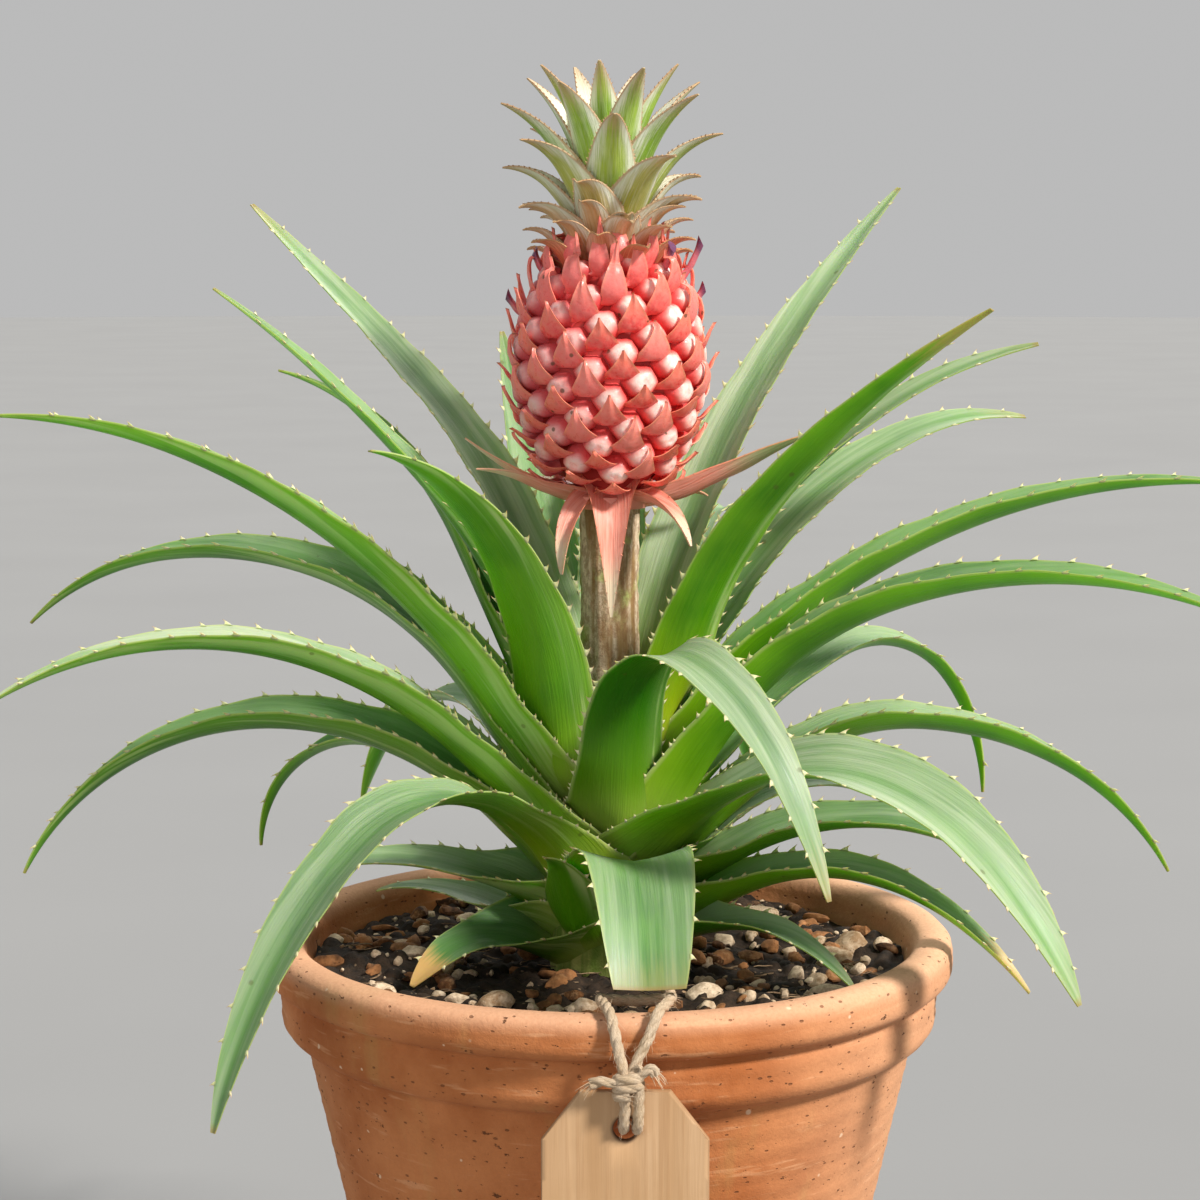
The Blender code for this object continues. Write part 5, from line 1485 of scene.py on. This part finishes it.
def tag_shape():
    """The board as a loop of outlines. In each direction the edge lies at the least of the distances to the
    sides' lines, and each outline of the loop is a share of the way from the hole to that edge."""
    half, top = TAG_WIDTH / 2, TAG_TOP_WIDTH / 2
    corners = np.array([
        (-top, 0), (-half, -TAG_CLIP), (-half, -TAG_LENGTH), (half, -TAG_LENGTH), (half, -TAG_CLIP), (top, 0)
    ]) + [0, TAG_HOLE_DROP]
    at_corners = np.arctan2(corners[:, 1], corners[:, 0])
    near = (at_corners[:, None] + np.radians([-1.2, -0.4, 0.4, 1.2])).ravel()
    angle = np.sort(np.concatenate([np.linspace(-math.pi, math.pi, 148, endpoint=False), near, at_corners]))
    angle = angle[: len(angle) // 2 * 2]
    way = np.stack([np.cos(angle), np.sin(angle)], axis=-1)
    ahead = np.roll(corners, -1, axis=0)
    normal = unit(np.stack([ahead[:, 1] - corners[:, 1], corners[:, 0] - ahead[:, 0]], axis=-1))
    offset = (normal * corners).sum(axis=1)
    normal, offset = normal * np.sign(offset)[:, None], np.abs(offset)
    slope = way @ normal.T
    edge = np.where(slope > 1e-6, offset / np.maximum(slope, 1e-6), np.inf).min(axis=1)
    inset, thick = TAG_ROUNDING, TAG_THICKNESS / 2
    loop = [(0, -thick + inset, 0), (0, thick - inset, 0), (0, thick, inset)]
    loop += [(share, thick, 0) for share in (0.15, 0.4, 0.7, 0.92)]
    loop += [(1, thick, -inset), (1, thick - inset, 0), (1, inset - thick, 0), (1, -thick, -inset)]
    loop += [(share, -thick, 0) for share in (0.92, 0.7, 0.4, 0.15)] + [(0, -thick, inset)]
    share, depth, extra = np.array(loop).T
    distance = TAG_HOLE_RADIUS + (edge[None, :] - TAG_HOLE_RADIUS) * share[:, None] + extra[:, None]
    flat = distance[..., None] * way
    rings = vectors(flat[..., 0], -depth[:, None], flat[..., 1] - TAG_HOLE_DROP)
    return wrapped(rings + TAG_PLACE, board=vectors(share[:, None], distance / MM, 0.0))


def birch_finish():
    """Pale birch with upright grain, a scorched rim at the hole and browner cut edges."""
    made, wires, sockets = new_finish("birch", Roughness=0.55, Specular_IOR_Level=0.35)
    place = wires.place()
    share, from_hole, _ = wires.parts(wires.value("board"))
    grain = wires.noise(wires.stretched(place, (1.0, 0.6, 0.035)), 420.0, 4.0, 0.6, 0.2)
    broad = wires.noise(wires.stretched(place, (1.0, 0.6, 0.05)), 75.0, 3.0, 0.5, 0.6)
    colour = wires.mix(wires.spread(broad, 0.3, 0.7), (0.50, 0.29, 0.14), (0.63, 0.40, 0.22))
    colour = wires.mix(wires.spread(grain, 0.45, 0.70, 0.0, 0.6), colour, (0.44, 0.24, 0.11))
    cloud = wires.spread(wires.noise(place, 45.0), 0.5, 0.7, 0.0, 0.3)
    colour = wires.mix(cloud, colour, (0.48, 0.28, 0.13))
    scorch = wires.spread(from_hole, 4.9, 3.5, 0.0, 0.9)
    colour = wires.mix(scorch, colour, (0.10, 0.045, 0.02))
    rim = wires.spread(share, 0.985, 1.0, 0.0, 0.55)
    colour = wires.mix(rim, colour, (0.30, 0.155, 0.07))
    wires.join(colour, sockets["Base Color"])
    wires.join(wires.bump(grain, 0.18 * MM), sockets["Normal"])
    return made


piece("name_tag", tag_shape(), birch_finish(), "tag_wood", "tag")

# %% Twine
TWINE_RADIUS = 1.7 * MM
TWINE_STEP = 0.45 * MM
PLY_OFFSET, PLY_RADIUS = 0.34, 0.70  # shares of the twine's radius
# Routes in mm from the pot's axis and its rim.
TWINE_OVER_LIP = [
    (5, -121.5, -17), (3.2, -119.5, -11), (1.5, -117.6, -4), (0, -113.5, 1.6), (-1.5, -107, 2.4),
    (-2.8, -100.5, 2.4), (-1.5, -96, 1.2), (8, -94.5, 0.4), (17.5, -96, 1.6), (18.4, -100.5, 2.8),
    (16.6, -107, 2.6), (14.2, -113.5, 1.8), (11.5, -117.6, -4), (8, -119.5, -11), (5.6, -121.5, -17),
]
TWINE_TO_TAG = [
    (5.2, -121.5, -18), (5.0, -121.2, -25), (4.8, -120.4, -30), (4.6, -117, -32.3), (4.6, -113.6, -29),
    (4.8, -113.2, -22), (5.0, -116, -17.2), (5.2, -120.5, -17.5),
]
TWINE_END_LEFT = [(4, -122, -17), (0, -123, -16.5), (-3.5, -123, -16), (-5.5, -122.5, -17)]
TWINE_END_RIGHT = [(6, -122, -16.5), (9.5, -122.5, -14), (12, -122.5, -12.5), (13.5, -122, -14)]


HAIR_LAY = [1.0, 0.0, 0.3]  # loose hairs all read the same spot of the fibres' pattern


def knot_route():
    """Three slanting turns of twine round the place where the loop's two legs meet: a flattened helix."""
    angle = np.linspace(-0.6, 3 * math.tau - 1.4, 40)
    fall = np.linspace(3.4, -3.6, 40)
    return vectors(
        5.2 + 3.2 * np.cos(angle), -121.6 + 2.1 * np.sin(angle), -17.2 + fall + 0.9 * np.cos(angle + 0.5)
    )


def smooth_route(points, step):
    """A smooth curve through the route's points, in metres, sampled at each step of its length."""
    points = np.array(points, dtype=float)
    padded = np.vstack([2 * points[0] - points[1], points, 2 * points[-1] - points[-2]])
    share = np.linspace(0, len(points) - 1, 60 * len(points))
    index = np.minimum(share.astype(int), len(points) - 2)
    t = (share - index)[:, None]
    a, b, c, d = (padded[index + k] for k in range(4))
    curve = 0.5 * (2 * b + (c - a) * t + (2 * a - 5 * b + 4 * c - d) * t**2 + (3 * b - a - 3 * c + d) * t**3)
    curve = curve * MM + [0, 0, RIM]
    return sampled(curve, step)[0]


def carried(line):
    """Two directions across a line at each of its points, turned as little as possible from each to the
    next: what of the last one lies along the line is taken off."""
    along = unit(np.gradient(line, axis=0))
    across = [unit(np.cross(along[0], [0.3, 0.2, 1.0]))]
    for way in along[1:]:
        across.append(unit(across[-1] - way * (across[-1] @ way)))
    across = np.array(across)
    return across, np.cross(along, across)


def twine_shape(points, radius=TWINE_RADIUS, plies=3, twist=13 * MM, loose=0.0):
    """Plies wound round the route. Each ply's centre circles the line, once in each twist of its length, and
    loose opens the plies out towards a free end."""
    line = smooth_route(points, TWINE_STEP)
    across, other = carried(line)
    run = np.arange(len(line)) * TWINE_STEP
    shapes = []
    ring = np.linspace(0, math.tau, 10, endpoint=False)
    for ply in range(plies):
        turn = run / twist * math.tau + ply * math.tau / plies
        open_out = 1 + loose * smooth_step((run - run[-1] * 0.5) / (run[-1] * 0.5))
        offset = (radius * PLY_OFFSET * open_out)[:, None]
        centre = line + (across * np.cos(turn)[:, None] + other * np.sin(turn)[:, None]) * offset
        thick = radius * PLY_RADIUS * (1 + 0.09 * ripple(centre, 900, 50 + ply))
        rings = round_line(centre, across, other, thick[:, None], len(ring))
        lay = ring + run[:, None] / (2.2 * MM)
        shapes.append(tubes(rings, lay=vectors(np.cos(lay) * 2, np.sin(lay) * 2, run[:, None] * 120)))
    return together(*shapes)


def fuzz_shape(routes, count, seed):
    """Loose fibres that stand off the twine: short bent hairs, each a thin tube."""
    random = np.random.default_rng(seed)
    lines = [smooth_route(route, TWINE_STEP) for route in routes]
    line = np.concatenate(lines)
    way = unit(np.concatenate([np.gradient(one, axis=0) for one in lines]))
    pick = random.integers(0, len(line), count)
    out = random.normal(size=(count, 3))
    along = way[pick] * random.choice([-1, 1], count)[:, None]
    out = unit(out - along * (out * along).sum(axis=1)[:, None])
    length = random.uniform(1.0, 4.2, count)[:, None, None] * MM
    s = np.linspace(0, 1, 6)[None, :, None]
    root = line[pick] + out * TWINE_RADIUS * 0.8
    hair = root[:, None] + along[:, None] * length * s + out[:, None] * length * 0.55 * s**1.5
    hair += np.array([0, 0, -1.0]) * length * 0.15 * s**2
    rings = round_line(hair, np.cross(along, out)[:, None], out[:, None], 0.085 * MM * (1 - 0.7 * s), 4)
    return tubes(rings, lay=HAIR_LAY)


def frayed_shape(points, seed, count=26):
    """A frayed end: fibres that leave the twine's last point and spread like a brush."""
    random = np.random.default_rng(seed)
    line = smooth_route(points, TWINE_STEP)
    end, way = line[-1], unit(line[-1] - line[-6])
    aim = unit(way + random.normal(size=(count, 3)) * 0.33)
    length = random.uniform(2.5, 6.0, count)[:, None, None] * MM
    s = np.linspace(0, 1, 7)[None, :, None]
    root = end + random.normal(size=(count, 3)) * 0.5 * MM - way * 2 * MM
    hair = root[:, None] + aim[:, None] * length * s + [0, 0, -1.0] * length * 0.3 * s**2
    side = unit(np.cross(aim, [0.2, 0.1, 1.0]))
    rings = round_line(hair, side[:, None], np.cross(aim, side)[:, None], 0.13 * MM * (1 - 0.6 * s), 4)
    return tubes(rings, lay=HAIR_LAY)


def jute_finish():
    """Straw and tan fibres that follow each ply's own twist."""
    made, wires, sockets = new_finish("jute", Roughness=0.85, Specular_IOR_Level=0.25)
    place = wires.place()
    fibres = wires.noise(wires.value("lay"), 3.2, 4.0, 0.65)
    colour = wires.mix(wires.spread(fibres, 0.3, 0.7), (0.48, 0.33, 0.20), (0.82, 0.66, 0.48))
    patch = wires.spread(wires.noise(place, 160.0), 0.4, 0.65, 0.0, 0.45)
    colour = wires.mix(patch, colour, (0.52, 0.36, 0.20))
    wires.join(colour, sockets["Base Color"])
    wires.join(wires.bump(fibres, 0.5 * MM), sockets["Normal"])
    return made


to_tag = [(x - 0.6, y, z) for x, y, z in TWINE_TO_TAG]
beside = [(x + 3.4, y - 0.3, z) for x, y, z in TWINE_TO_TAG]
routes = (TWINE_OVER_LIP, to_tag, beside, knot_route())
twine = together(
    *[twine_shape(route) for route in routes],
    *[twine_shape(end, TWINE_RADIUS * 0.85, loose=0.8) for end in (TWINE_END_LEFT, TWINE_END_RIGHT)],
    fuzz_shape(routes, 420, 71),
    frayed_shape(TWINE_END_LEFT, 72),
    frayed_shape(TWINE_END_RIGHT, 73),
)
piece("jute_twine", twine, jute_finish(), "jute", "twine")
print("twine faces:", len(twine["faces"]), "all faces:", total_faces)

# %% [markdown]
# ## Size
#
# The dressed plant is meant to fill the same box as its solids. The solids' box is printed.

# %% Finish
print("solid box:", solid_low, solid_high)
